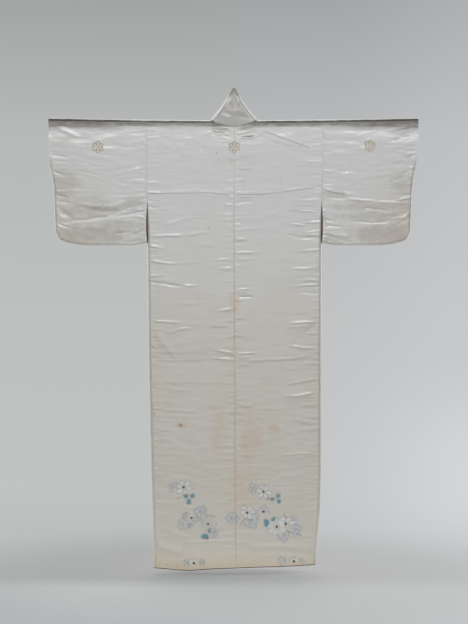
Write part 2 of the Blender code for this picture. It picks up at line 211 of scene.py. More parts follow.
UPPER_CREASES = table_of(
    Crease,
    (-298, -237, -64, -230, 0, 0.31, 3.8), (-106, -230, -1, -242, 0, 0.31, 3.8),
    (1, -238, 104, -237, 0, 0.27, 4.3), (69, -238, 296, -215, 3, 0.27, 4.3),
    (96, -18, 265, -84, 0, 0.25, 3.3), (131, -58, 240, -83, 0, 0.2, 3.3),
    (8, -157, 72, -154, 0, 0.45, 3.3), (-281, -158, -191, -163, 0, 0.25, 4.3),
    (8, -254, 69, -252, 0, 0.35, 3.8), (11, -269, 66, -268, 0, -0.68, 3.8),
    (-40, -274, -3, -279, 0, 0.52, 3.8), (-291, -281, -239, -305, 0, -0.68, 4.3),
    (-294, -295, -246, -290, 0, 0.6, 3.8), (210, -300, 296, -305, 0, 0.68, 3.8),
    (230, -265, 296, -265, 0, 0.6, 3.8), (189, -340, 251, -350, 0, 1, 3.8),
    (-243, -346, -133, -317, 0, 0.8, 4.5), (-291, -387, -164, -379, 0, 1, 4.3),
    (-167, -385, -92, -370, 0, 0.8, 4.3), (172, -377, 272, -389, 3, -0.9, 5),
    (-291, -418, -239, -431, 0, 1.16, 4.3), (11, -357, 100, -362, 0, 0.5, 4.3),
)
MIDDLE_CREASES = table_of(
    Crease,
    (-287, -472, -202, -482, 0, 1.4, 3.5), (-219, -481, -109, -469, 0, 0.6, 4),
    (-68, -470, -3, -462, 0, 0.9, 3.5), (9, -440, 80, -440, 0, 1.0, 3.5),
    (9, -463, 80, -461, 0, 0.7, 4), (-51, -497, -3, -494, 0, 0.9, 3.5),
    (200, -497, 294, -491, 0, 1.0, 4), (-284, -521, -229, -519, 0, 0.7, 4),
    (-291, -535, -164, -558, 5, -1.6, 4), (-191, -559, -116, -551, 0, 0.8, 4),
    (11, -571, 59, -565, 0, 0.9, 3.5), (11, -596, 69, -591, 0, -1.2, 3.5),
    (206, -558, 296, -549, 0, 1.2, 4), (241, -530, 289, -535, 0, 0.9, 4),
    (-58, -641, -6, -635, 0, 1.1, 4), (-174, -619, -123, -619, 0, 0.6, 4),
    (-282, -674, -178, -682, 0, 1.4, 3.5), (-198, -707, -147, -702, 0, 1.2, 3.5),
    (-233, -715, -191, -708, 0, 0.7, 4), (-88, -689, -3, -694, 0, 0.7, 4.5),
    (-277, -703, -195, -806, 0, 0.9, 6), (-284, -761, -250, -774, 0, 1.1, 3.5),
    (-61, -774, -1, -786, 0, 1.6, 3.5), (10, -787, 76, -788, 0, 1.5, 3),
    (-277, -810, -75, -809, 0, 0.8, 4), (-78, -803, 0, -809, 0, 1.2, 3.5),
    (11, -815, 289, -794, 3, 1.0, 5), (13, -801, 59, -802, 0, 1.0, 4.5),
    (14, -824, 59, -826, 0, 1.0, 5), (179, -760, 275, -773, 0, 1.2, 4),
    (292, -674, 196, -772, 0, -0.9, 6), (182, -684, 296, -681, 0, 1.1, 4),
    (172, -698, 251, -693, 0, 0.6, 4),
)
LOWER_CREASES = table_of(
    Crease,
    (-246, -880, -171, -892, 0, 0.7, 5), (-233, -909, -133, -914, 0, 0.6, 5),
    (176, -895, 282, -871, 0, 1.0, 4.5), (176, -936, 279, -922, 0, 1.7, 4.5),
    (11, -962, 59, -965, 0, 1.5, 5), (-284, -975, -246, -978, 0, 1.2, 4),
    (-260, -983, -123, -984, 0, 0.5, 5), (224, -964, 285, -962, 0, 0.8, 4.5),
    (206, -1015, 265, -1021, 0, 1.1, 5), (220, -1052, 292, -1043, 0, 1.1, 4.5),
    (224, -1000, 289, -1000, 0, 0.7, 4.5), (158, -1135, 287, -1129, 0, 1.9, 3),
    (11, -1137, 86, -1137, 0, 0.5, 4), (-40, -1150, -1, -1147, 0, 0.7, 4),
    (-44, -1179, -1, -1176, 0, 0.6, 4), (-277, -1039, -226, -1051, 0, 0.6, 5),
    (251, -1286, 289, -1281, 0, 1.1, 4), (-51, -1297, -3, -1294, 0, 1.1, 4.5),
    (8, -1301, 52, -1299, 0, 0.9, 4.5), (-233, -1408, -143, -1415, 0, 0.8, 4.5),
    (-174, -1432, 1, -1432, 0, 1.0, 4), (-44, -1408, -3, -1406, 0, 0.9, 4),
    (-270, -1444, -168, -1474, 0, 3.4, 13), (-226, -1398, -160, -1412, 0, 1.4, 6),
    (-272, -1298, -200, -1302, 0, 1.1, 5), (150, -1446, 275, -1462, 0, 2.6, 10),
    (8, -1432, 62, -1438, 0, 0.7, 4), (186, -1412, 275, -1410, 0, 1.8, 6),
    (35, -1447, 275, -1454, 0, 1.1, 8),
)
BACK_CREASES = [*NECK_CREASES, *UPPER_CREASES, *MIDDLE_CREASES, *LOWER_CREASES]
print(len(BACK_CREASES), "creases placed on the back")

# %% Main creases of the sleeves
LEFT_SLEEVE_CREASES = table_of(
    Crease,
    (-610, -12, -524, -46, 0, 1.1, 8), (-589, -62, -483, -48, 0, -0.5, 9),
    (-629, -106, -570, -117, 0, -0.8, 4.7), (-624, -125, -575, -132, 0, -0.8, 3.9),
    (-620, -165, -592, -172, 0, -1, 3.7), (-560, -160, -470, -172, 0, -0.6, 5),
    (-470, -150, -330, -136, 6, 0.5, 7), (-420, -178, -310, -150, 0, 0.6, 7),
    (-400, -222, -306, -188, 0, 0.6, 8), (-612, -240, -568, -255, 0, -1, 3.7),
    (-612, -264, -566, -270, 0, -1, 3.7), (-566, -270, -304, -246, 22, 0.8, 7),
    (-540, -282, -310, -262, 26, -1, 9), (-608, -290, -552, -322, 0, -1.5, 11),
    (-612, -336, -418, -314, 4, -1.22, 4.5), (-446, -319, -304, -268, 2, -1.22, 4.5),
    (-420, -322, -366, -306, 0, -1.05, 3.9), (-393, -313, -300, -304, 0, -1, 3.7),
    (-352, -292, -316, -281, 0, -1, 3.7), (-360, -297, -304, -296, 0, 1, 3.7),
    (-346, -318, -304, -322, 0, 1, 4.2), (-609, -338, -562, -355, 0, -1, 3.7),
    (-560, -352, -430, -360, 0, 0.6, 6), (-415, -374, -350, -369, 0, -1.05, 3.9),
    (-356, -386, -302, -362, 0, -1.2, 6), (-390, -408, -312, -398, 0, -1.27, 4.7),
)
RIGHT_SLEEVE_CREASES = table_of(
    Crease,
    (530, -24, 606, -8, 0, 1.2, 4.5), (566, -44, 610, -31, 0, -1.2, 4.7),
    (548, -58, 572, -53, 0, -1, 4.7), (590, -96, 626, -92, 0, -0.8, 3.9),
    (575, -118, 624, -112, 0, -0.9, 3.9), (540, -128, 600, -118, 0, 0.6, 6),
    (594, -158, 624, -161, 0, -1, 3.7), (578, -170, 602, -168, 0, -1, 3.7),
    (530, -196, 612, -176, 0, -0.8, 8), (330, -96, 440, -108, 4, 0.5, 7),
    (310, -160, 430, -172, 4, 0.5, 7), (305, -219, 410, -246, 0, 1.22, 4.5),
    (305, -251, 396, -254, 0, -1.11, 4.1), (384, -258, 492, -268, 0, 1.11, 4.1),
    (482, -267, 610, -270, 0, 1.05, 3.9), (562, -260, 614, -250, 0, 1, 3.7),
    (566, -263, 612, -262, 0, -1, 3.7), (440, -288, 530, -298, 0, -1, 3.7),
    (432, -304, 505, -299, 0, 0.8, 4.7), (500, -322, 606, -300, 0, -0.9, 8),
    (550, -315, 590, -314, 0, -1, 3.7), (596, -315, 616, -316, 0, -1, 3.7),
    (400, -332, 494, -342, 0, -1, 3.7), (480, -341, 530, -336, 0, -1, 3.7),
    (560, -347, 592, -325, 0, -1, 3.7), (308, -328, 354, -334, 0, -1, 3.7),
    (306, -346, 372, -354, 0, -1.1, 4.7), (306, -376, 364, -384, 0, 1, 3.7),
    (360, -378, 404, -386, 0, 0.9, 4.2), (330, -386, 414, -410, 0, -1.6, 7),
    (310, -398, 372, -412, 0, -1, 5),
)


# %% [markdown]
# Puckers come where a seam's thread is shorter than the cloth beside it: short creases that start on the
# seam and die out. Slack is what the weave keeps everywhere, long, faint and nearly level. Both are too
# many to place one by one, so loops draw them from a seeded chance, and the same seed always gives the
# same cloth.

# %% Puckers along a seam
def seam_puckers(seed, seam, inwards, top, bottom, pitch, reach, height):
    """Short creases that run off a seam to one side, strongest at the seam."""
    chance = random.Random(seed)
    puckers = []
    z = top
    while z > bottom:
        length = reach * chance.uniform(0.4, 1.5)
        start = seam - inwards * 0.22 * length
        rise = chance.uniform(-0.06, 0.06) * length
        size = height * chance.choice((-1, 1, 1)) * chance.uniform(0.35, 1.3)
        size *= mix(0.45, 1.0, ease((-z - 150) / 100))
        width = chance.uniform(2.6, 4.6)
        puckers.append(Crease(start, z, start + inwards * length, z + rise, 0, size, width))
        z -= pitch * chance.uniform(0.5, 1.6)
    return puckers


# %% Slack between the seams
def slack(seed, count, low_x, high_x, bottom, top, height, lean=0.05):
    """Long faint creases strewn over an area, nearly level."""
    chance = random.Random(seed)
    found = []
    for _ in range(count):
        length = chance.uniform(45, 170)
        x = chance.uniform(low_x, high_x) - length / 2
        z = chance.uniform(bottom, top)
        rise = chance.uniform(-lean, lean) * length
        size = height * chance.uniform(-1.0, 1.0)
        width = chance.uniform(4.0, 9.0)
        found.append(Crease(x, z, x + length, z + rise, chance.uniform(-3, 4), size, width))
    return found


# %% Creases of the back seen on the front
def mirrored(creases, drop, share):
    """The same creases seen on the other side of the cloth, a little lower and softer."""
    return [
        Crease(-c.x1, c.z1 - drop, -c.x0, c.z0 - drop, c.sag, c.height * share, c.width * 1.2)
        for c in creases
    ]


# %% All creases of each panel
BACK_RELIEF = [
    *BACK_CREASES,
    *seam_puckers(11, 0, LEFT, -60, -1500, 24, 42, 0.60),
    *seam_puckers(12, 0, RIGHT, -60, -1500, 22, 46, 0.60),
    *seam_puckers(13, -292, RIGHT, -20, -1500, 22, 50, 0.60),
    *seam_puckers(14, 294, LEFT, -20, -1500, 19, 60, 0.65),
    *slack(15, 200, -280, 280, -1480, -190, 0.34),
    *slack(16, 40, -270, 270, -190, -60, 0.16, lean=0.3),
]
FRONT_RELIEF = [
    *mirrored(UPPER_CREASES, 30, 0.7),
    *mirrored(MIDDLE_CREASES, 18, 0.7),
    *mirrored(LOWER_CREASES, 24, 0.7),
    *seam_puckers(21, -290, RIGHT, -20, -1500, 17, 55, 0.5),
    *seam_puckers(22, 292, LEFT, -20, -1500, 17, 55, 0.5),
    *slack(23, 200, -280, 280, -1480, -120, 0.3),
]
SLEEVE_RELIEF = {
    LEFT: [
        *LEFT_SLEEVE_CREASES,
        *seam_puckers(31, -302, LEFT, -20, -400, 16, 36, 0.6),
        *seam_puckers(32, -622, RIGHT, -60, -380, 12, 46, 0.7),
        *slack(33, 60, -600, -320, -400, -170, 0.36, lean=0.16),
        *slack(36, 16, -610, -310, -34, -14, 0.25, lean=0.06),
        *slack(34, 60, -600, -320, -190, -40, 0.30, lean=0.30),
    ],
    RIGHT: [
        *RIGHT_SLEEVE_CREASES,
        *seam_puckers(41, 302, RIGHT, -20, -290, 16, 40, 0.6),
        *seam_puckers(45, 304, RIGHT, -290, -400, 10, 26, 1.0),
        *seam_puckers(42, 620, LEFT, -60, -380, 12, 46, 0.75),
        *slack(43, 60, 320, 600, -400, -170, 0.36, lean=0.16),
        *slack(46, 16, 310, 610, -34, -14, 0.25, lean=0.06),
        *slack(44, 60, 320, 600, -190, -40, 0.30, lean=0.30),
    ],
}
print(len(BACK_RELIEF), "creases on the back in all")


# %% Height of the creases at any point
CREASE_END = 0.22
CREASE_REACH = 3
RELIEF = 1.6
LOW_RELIEF = 1.0
LOW_RELIEF_TOP = 0.70
LOW_RELIEF_RAMP = 0.45


def wander(x, z):
    """Creases never run dead straight: a few millimetres of drift in height."""
    return 0.0016 * np.sin(x / 0.031 + z / 0.075) + 0.0008 * np.sin(x / 0.0112 - z / 0.021)


def relief(creases, x, z):
    """Sum of the creases at each point, in metres. The lower half is a little smoother."""
    x, z = np.broadcast_arrays(np.asarray(x, float), np.asarray(z, float))
    level = z + wander(x, z)
    total = np.zeros_like(level)
    for crease in creases:
        share = (x / MM - crease.x0) / (crease.x1 - crease.x0)
        line = mix(crease.z0, crease.z1, share) - crease.sag * 4 * share * (1 - share)
        distance = level / MM - line
        near = (share > 0) & (share < 1) & (abs(distance) < CREASE_REACH * crease.width)
        if near.any():
            ends = ease(share[near] / CREASE_END) * ease((1 - share[near]) / CREASE_END)
            total[near] += crease.height * MM * ends * bell(distance[near], crease.width)
    return total * mix(RELIEF, LOW_RELIEF, ease((-z - LOW_RELIEF_TOP) / LOW_RELIEF_RAMP))


# %% [markdown]
# ## The panels as surfaces
# Each panel is described by a function that gives the cloth's middle surface: how far across its width,
# and how far down the back or the front, or at what angle over the rod. A drawn-out grid placed by such a
# function keeps the cut's proportions, which a draped simulation would not do on cloth that hangs this
# flat. Where front and back are sewn together the two walls close in on each other, and the creases die
# out there too.

# %% [markdown]
# Front and back of the body are sewn together along the side seam, from the hem up to the slit under the
# armhole. So the two walls hang apart at the top and meet at the seam below it. The slit gapes most in
# its middle, where the weight of the sleeve pulls at it.

# %% Slits and side seams
ARMHOLE_END = -0.254
SLIT_END = -0.410
SLIT_WIDEST = 0.5
SLIT_FOOT = 1.15
SLIT_FRONT_SHARE = 0.2
SIDE_OPEN = -0.270
SIDE_CLOSED = -0.420
SIDE_CLOSING = 0.009


def slit_opening(part, z):
    """How far the slit under the armhole gapes, from 0 to 1. On the front it nearly shuts."""
    down = (ARMHOLE_END - z) / (ARMHOLE_END - SLIT_END)
    opening = ease(down / SLIT_WIDEST) * ease((SLIT_FOOT - down) / (1 - SLIT_WIDEST))
    return opening * SLIT_FRONT_SHARE if part == "front" else opening


def side_closing(side, x, z):
    """1 where front and back hang apart, falling to 0 at the closed side seam."""
    inset = np.clip((side_seam(side, z) - abs(x)) / SIDE_CLOSING, 0.0, 1.0)
    closed = ease((z - SIDE_OPEN) / (SIDE_CLOSED - SIDE_OPEN))
    return mix(1.0, np.sqrt(1 - (1 - inset) ** 2), closed)


# %% The fronts' lap, the pressed seams and the dip under the rod
FRONT_LIFT = 2 * WALL + GAP + 0.001
LIFT_EDGE = 0.290
LIFT_RAMP = 0.038
SEAM_GROOVE = 0.0002
SEAM_GROOVE_WIDTH = 0.0016
SEAM_DRIFT = 0.0070
SEAM_DRIFT_CURVE = 1.5
HEM_DROP = 1.52
ROD_DIP = 0.0016
ROD_DIP_REACH = 0.013
ROD_DIP_FADE = 0.060


def left_lift(side, x):
    """The left front lies over the right one, so it stands out between the side seams."""
    return (side == LEFT) * FRONT_LIFT * ease((LIFT_EDGE - abs(x)) / LIFT_RAMP)


def pressed_seam(inset):
    """A seam is pressed into a fine groove."""
    return -SEAM_GROOVE * bell(inset, SEAM_GROOVE_WIDTH)


def centre_seam(z):
    """The centre back seam wanders to one side on its way down."""
    return SEAM_DRIFT * np.clip(-z / HEM_DROP, 0.0, 1.0) ** SEAM_DRIFT_CURVE


def rod_dip(x, z):
    """Just under the rod the cloth falls in a little, here more and there less, and then hangs straight."""
    reach = ROD_DIP_REACH + 0.004 * np.sin(23 * x) + 0.003 * np.sin(57 * x + 1)
    return -ROD_DIP * ease(-z / reach) * (1 - ease((-z - reach) / ROD_DIP_FADE))


# %% Back of a body panel
SLIT_BODY = 0.0026
SEAM_FADE = 0.0060
SEAM_GAP = 0.00008
SHOULDER_FADE = 0.010


def back_depth(side, x, z, level):
    """Depth of the back's middle surface behind the rod's axis. Only broad folds cross the seam."""
    apart = side_closing(side, x, level)
    loose = apart * ease(-z / SHOULDER_FADE)
    inset = abs(x - centre_seam(level))
    folds = relief(BACK_RELIEF, x, z) * ease(inset / SEAM_FADE) + relief(BACK_FOLDS, x, z) + rod_dip(x, z)
    return mix(SEAM_DEPTH, DEPTH, apart) + loose * folds + pressed_seam(inset)


def body_back(side, across, down, inward=0.0):
    """The back of a body panel, from the centre seam, 0, to the side seam, 1."""
    level = down * hem_height(0.0)
    edge = np.where(down > 0, SEAM_GAP / 2 + side * centre_seam(level), neck_edge_over(0.0))
    outer = side_seam(side, level) - SLIT_BODY * slit_opening("back", level)
    x = side * mix(edge, outer, across)
    z = mix(rod_height(x), hem_height(x), down)
    return x, inward - back_depth(side, x, z, level), z


# %% A body panel over the rod and down the front
FRONT_EDGE_FADE = 0.012
FRONT_TOP_FADE = 0.020


def body_over(side, across, angle):
    """The same panel where it bends over the rod, from the back at 0 to the front at half a turn."""
    x = side * mix(neck_edge_over(angle), side_seam(side, 0.0), across)
    lift = np.where(angle > math.pi / 2, left_lift(side, x), 0.0)
    y = -(DEPTH + lift) * np.cos(angle)
    return x, y, rod_height(x) + DEPTH * np.sin(angle)


def front_depth(side, x, z, level, inset):
    """Depth of the front's middle surface before the rod's axis, quiet at its inner edge."""
    apart = side_closing(side, x, level)
    folds = relief(FRONT_RELIEF, x, z) * ease(inset / FRONT_EDGE_FADE) * ease(-z / FRONT_TOP_FADE)
    return mix(SEAM_DEPTH, DEPTH + left_lift(side, x), apart) + apart * folds


def body_front(side, across, down, inward=0.0):
    """The front of a body panel, from its cut edge at the neck and the overlap, 0, to the side seam, 1."""
    level = down * hem_height(0.0)
    edge = front_edge(side, level)
    outer = side_seam(side, level) - SLIT_BODY * slit_opening("front", level)
    x = side * mix(edge, outer, across)
    z = mix(rod_height(x), hem_height(x), down)
    depth = front_depth(side, x, z, level, across * (outer - edge))
    return x, depth - inward, z


# %% Neck cut and front edge, which follow the collar's line
LAP_STEP = WALL + GAP
OKUMI_SEAM = 0.020
OKUMI_WIDTH = 0.135
OKUMI_TOP = -0.125
NECK_LAP = 0.006
NECK_CUT_WIDTH = 0.0744
NECK_CUT_TOP = 0.016
NECK_CUT_CURVE = 0.667


def neck_edge_over(angle):
    """Inner edge of a body panel where it passes over the rod beside the neck."""
    quarter = math.pi / 2
    height = DEPTH * np.sin(np.minimum(angle, quarter))
    edge = NECK_CUT_WIDTH * ((height + WALL / 2) / NECK_CUT_TOP) ** NECK_CUT_CURVE
    return mix(edge, collar_line(RIGHT, 0.0) - NECK_LAP, ease((angle - quarter) / quarter))


def front_edge(side, z):
    """Inner edge of a front: the collar line, then the overlap panel's seam."""
    return np.maximum(OKUMI_SEAM + GAP / 2, collar_line(side, z) - NECK_LAP)


# %% [markdown]
# A sleeve is one length folded over the rod. It is closed along the bottom, round the outer corner and up
# to the wrist opening, so its two walls meet there. Its lower edge rises at both corners: in a round at
# the cuff, and a little beside the body.

# %% Sleeve
SLIT_SLEEVE = 0.0042
WRIST_OPEN = -0.119
WRIST_END = -0.199
SLEEVE_BOTTOM = -0.415
CORNER_SLOPE = 0.025
CORNER_SLOPE_LENGTH = 0.12
CORNER_ROUND = 0.030
CORNER_ROUND_LENGTH = 0.024
INNER_CORNER = 0.008
INNER_CORNER_LENGTH = 0.060
CUFF_CLOSING = 0.007
CUFF_DIP = 1.5
BOTTOM_CLOSING = 0.006
FRONT_FOLD_SHARE = 0.7


def sleeve_inner_edge(side, part, z):
    """A sleeve starts at the side seam, and a little further out beside the slit."""
    return side_seam(side, z) + SEAM_GAP + SLIT_SLEEVE * slit_opening(part, z)


def sleeve_lower_edge(inset, width):
    """Height of the sleeve's lower edge, inset being the distance from its outer edge."""
    slope = np.maximum(0.0, 1 - inset / CORNER_SLOPE_LENGTH) ** 2
    corner = np.maximum(0.0, 1 - inset / CORNER_ROUND_LENGTH) ** 2
    inner = ease(1 - (width - inset) / INNER_CORNER_LENGTH)
    return SLEEVE_BOTTOM + CORNER_SLOPE * slope + CORNER_ROUND * corner + INNER_CORNER * inner


def sleeve_hanging(part, side, across, down, inward=0.0):
    """The back or the front of a sleeve."""
    cuff = cuff_edge(side, 0.0)
    width = cuff - side_seam(side, 0.0)
    inset = (1 - across) * width
    near = side * (cuff - inset)
    lower = sleeve_lower_edge(inset, width)
    z = mix(rod_height(near), lower, down)
    outer = cuff_edge(side, z)
    x = side * mix(sleeve_inner_edge(side, part, z), outer, across)
    above = np.clip((z - lower) / BOTTOM_CLOSING, 0.0, 1.0)
    beside = np.clip((outer - abs(x)) / CUFF_CLOSING, 0.0, 1.0)
    closed = ease((z - WRIST_OPEN) / (WRIST_END - WRIST_OPEN))
    apart = np.sqrt(1 - (1 - above) ** 2) * mix(1.0, np.sqrt(1 - (1 - beside) ** 2), closed)
    folds = relief(SLEEVE_RELIEF[side], x, z) * ease(-z / SHOULDER_FADE) * ease(width * across / SEAM_FADE)
    folds += rod_dip(x, z) * (1 + CUFF_DIP * ease(across))
    share = 1.0 if part == "back" else FRONT_FOLD_SHARE
    depth = mix(SEAM_DEPTH, DEPTH, apart) + apart * share * folds
    depth += pressed_seam(width * across) * (z > ARMHOLE_END) - inward
    return x, -depth if part == "back" else depth, z


def sleeve_back(side, across, down, inward=0.0):
    return sleeve_hanging("back", side, across, down, inward)


def sleeve_front(side, across, down, inward=0.0):
    return sleeve_hanging("front", side, across, down, inward)


def sleeve_over(side, across, angle):
    """A sleeve where it bends over the rod, from the back at 0 to the front at half a turn."""
    inner = sleeve_inner_edge(side, "over", 0.0)
    x = side * mix(inner, cuff_edge(side, 0.0), across)
    return x, -DEPTH * np.cos(angle), rod_height(x) + DEPTH * np.sin(angle)


# %% [markdown]
# On a rod the collar stands up above the shoulders. Behind the neck it is a flat triangle, and at both
# slanted edges it bends round to the front and runs down it. Its layers come closer together towards the
# tip, so the bend's radius is found in a few rounds, each with the height that the last one gave.

# %% Collar
COLLAR_WIDTH = 0.123
COLLAR_LEAN = 0.40
COLLAR_END = -0.780
NECK_SEAM_DIP = -0.007
NECK_SEAM_CURVE = 1.5
NECK_POINT = 0.080
COLLAR_FOOT = 0.0168
TAPER_HEIGHT = 0.124
BEND_FITTING_STEPS = 12
COLLAR_TIP = 0.1265
TIP_HALF_WIDTH = 0.0055
TIP_DEPTH = 0.0025
COLLAR_HOLLOW = 0.006
FULL_WIDTH_AT = 0.25
SLANT_GONE_AT = 0.5
HOLLOW_GONE_AT = 0.2
QUIET_COLLAR_EDGE = 0.1
BACK = 0
LayerDepth = namedtuple("LayerDepth", "foot tip")
COLLAR_DEPTHS = {
    BACK: LayerDepth(DEPTH + LAP_STEP, TIP_DEPTH),
    RIGHT: LayerDepth(DEPTH + LAP_STEP, TIP_DEPTH),
    LEFT: LayerDepth(DEPTH + LAP_STEP + FRONT_LIFT, TIP_DEPTH + LAP_STEP + GAP),
}


def collar_depth(layer, z):
    """Depth of a collar layer, which runs in towards the tip of the standing collar."""
    rise = np.clip(z / TAPER_HEIGHT, 0.0, 1.0)
    return mix(COLLAR_DEPTHS[layer].foot, COLLAR_DEPTHS[layer].tip, rise ** 2)


def outline_normal():
    """Outward direction, in x and z, across the slanted edge of the standing collar."""
    run = NECK_POINT - TIP_HALF_WIDTH
    rise = COLLAR_TIP - COLLAR_FOOT
    length = math.hypot(run, rise)
    return rise / length, run / length


def bend_axis(side, across):
    """Where the collar's flat layers run into the bend: |x|, z and the bend's radius."""
    out_x, out_z = outline_normal()
    hollow = COLLAR_HOLLOW * 4 * across * (1 - across)
    z = mix(COLLAR_FOOT, COLLAR_TIP, across)
    radius = 0.0
    for _ in range(BEND_FITTING_STEPS):
        level = z - (radius + WALL / 2) * out_z
        radius = (collar_depth(BACK, level) + collar_depth(side, level)) / 2
    x = mix(NECK_POINT, TIP_HALF_WIDTH, across) - hollow
    return x - (radius + WALL / 2) * out_x, z - (radius + WALL / 2) * out_z, radius


def collar_line(side, z):
    """Seam between collar and front: |x| on its own side, negative past the middle."""
    start_x, start_z, _ = bend_axis(side, 0.0)
    drop = start_z - COLLAR_END
    bend = (OKUMI_SEAM - OKUMI_WIDTH - start_x + COLLAR_LEAN * drop) / drop ** 2
    down = np.minimum(start_z - z, drop)
    return start_x - COLLAR_LEAN * down + bend * down ** 2


def along_collar(side, z):
    """Direction of the collar's seam on the front, in |x| and z, pointing up."""
    step = 0.001
    slope = (collar_line(side, z + step) - collar_line(side, z - step)) / (2 * step)
    length = np.hypot(slope, 1.0)
    return slope / length, 1 / length


# %% Creases of the standing collar
COLLAR_CREASES = table_of(
    Crease,
    (-60, 34, -14, 22, 0, 0.5, 5), (-34, 12, -10, 26, 0, 0.5, 4),
    (12, 30, 62, 20, 0, -0.5, 6), (-26, 78, -4, 60, 0, -0.5, 8),
    (2, 92, 26, 66, 0, 0.45, 8), (-40, 52, 30, 48, 6, 0.45, 9),
)


# %% The collar's three stretches: behind the neck, over the shoulder and down the front
def collar_back(side, across, outward):
    """A fan from the middle of the neck, 0, to the bend, 1."""
    bend_x, bend_z, _ = bend_axis(side, across)
    z = mix(mix(NECK_SEAM_DIP, COLLAR_TIP, across), bend_z, outward ** NECK_SEAM_CURVE)
    x = side * bend_x * outward
    quiet = ease(across / QUIET_COLLAR_EDGE) * ease((1 - across) / QUIET_COLLAR_EDGE)
    return x, -collar_depth(BACK, z) - relief(COLLAR_CREASES, x, z) * quiet, z


def collar_bend(side, across, angle):
    """The bend over the shoulder, from the back at -90 degrees to the front at 90."""
    bend_x, bend_z, radius = bend_axis(side, across)
    out_x, out_z = outline_normal()
    out = radius * np.cos(angle)
    y = radius * np.sin(angle) + radius - collar_depth(BACK, bend_z)
    return side * (bend_x + out * out_x), y, bend_z + out * out_z


def collar_front(side, across, down):
    """The collar on the front: down goes from 0 at the bend to 1 at its square end."""
    foot_x, foot_z, _ = bend_axis(side, 0.0)
    tip_x, tip_z, _ = bend_axis(side, 1.0)
    lean_x, lean_z = along_collar(side, foot_z)
    first_width = (tip_z - foot_z) * lean_x - (tip_x - foot_x) * lean_z
    first_slant = (tip_x - foot_x) * lean_x + (tip_z - foot_z) * lean_z
    width = mix(first_width, COLLAR_WIDTH, ease(down / FULL_WIDTH_AT))
    slant = first_slant * (1 - ease(down / SLANT_GONE_AT))
    hollow = COLLAR_HOLLOW * 4 * across * (1 - across) * (1 - ease(down / HOLLOW_GONE_AT))
    z = mix(foot_z, COLLAR_END, down)
    up_x, up_z = along_collar(side, z)
    x = collar_line(side, z) + across * (slant * up_x - width * up_z) - hollow
    return side * x, collar_depth(side, z), z + across * (slant * up_z + width * up_x)


# %% Overlap panel
QUIET_OKUMI_EDGE = 0.06
OKUMI_FOLD_SHARE = 0.6


def okumi(side, across, down):
    """The front overlap panel, from its tip under the collar to the hem."""
    level = mix(OKUMI_TOP, hem_height(0.0), down)
    inner = OKUMI_SEAM - GAP / 2
    outer = np.maximum(OKUMI_SEAM - OKUMI_WIDTH, collar_line(side, level) - NECK_LAP)
    x = side * mix(inner, outer, across)
    z = mix(OKUMI_TOP, hem_height(x), down)
    quiet = ease(across / QUIET_OKUMI_EDGE) * ease((1 - across) / QUIET_OKUMI_EDGE)
    folds = OKUMI_FOLD_SHARE * relief(FRONT_RELIEF, x, z) * quiet
    return x, DEPTH + left_lift(side, x) + folds, z


# %% [markdown]
# ## From a surface to a sheet of cloth
# A grid with a row every two and a half millimetres is fine enough for the creases. Its points are moved
# to where the panel's function puts them, and a Solidify modifier gives the sheet its two faces, satin
# outside and lining inside. The UV map holds each point's place on the flat cut in metres, so that weave
# and thread keep their true size and direction all over the cloth.

# %% Rows and columns
ROW = 0.0024
FRONT_ROW = 0.005
COLUMN = 0.0095
EDGE_COLUMNS = (0.0, 0.001, 0.0022, 0.004, 0.007, 0.011, 0.0155)
EDGE_BAND = 0.020
OVER_STEPS = 14


def columns_for(width):
    """Shares of a panel's width, closer together at both edges."""
    count = round((width - 2 * EDGE_BAND) / COLUMN) + 1
    middle = np.linspace(EDGE_BAND, width - EDGE_BAND, count)
    far = [width - place for place in reversed(EDGE_COLUMNS)]
    return np.array([*EDGE_COLUMNS, *middle, *far]) / width


def steps(start, end, length, spacing):
    """Even steps from start to end, as many as the spacing asks for over the length."""
    return np.linspace(start, end, max(2, round(length / spacing) + 1))


def stretch(surface, side, across, values, *inward):
    """Rows of points of one stretch of cloth. A lining lies some way inward of its panel."""
    across_all, value_all = np.meshgrid(across, values)
    points = surface(side, across_all, value_all, *inward)
    return np.stack(np.broadcast_arrays(*points), axis=-1)


print("a row every", ROW, "m on the back and every", FRONT_ROW, "m on the front")


# %% Places on the flat cut
def cut_places(points):
    """Each point's place on the flat cloth, across and along, in metres."""
    across = np.linalg.norm(np.diff(points, axis=1), axis=2).mean(axis=0)
    along = np.linalg.norm(np.diff(points, axis=0), axis=2).mean(axis=1)
    grid = np.meshgrid(np.append(0.0, across.cumsum()), np.append(0.0, along.cumsum()))
    return np.dstack(grid)


def place_points(piece, places, cut, edges=None):
    """Move a mesh's points to their places and give each its place on the flat cut."""
    mesh = piece.data
    mesh.vertices.foreach_set("co", places.ravel())
    corners = np.empty(len(mesh.loops), dtype=int)
    mesh.loops.foreach_get("vertex_index", corners)
    mesh.uv_layers.new(name="cut").data.foreach_set("uv", cut[corners].ravel())
    if edges is not None:
        mesh.uv_layers.new(name="edge").data.foreach_set("uv", edges[corners].ravel())
    mesh.update()


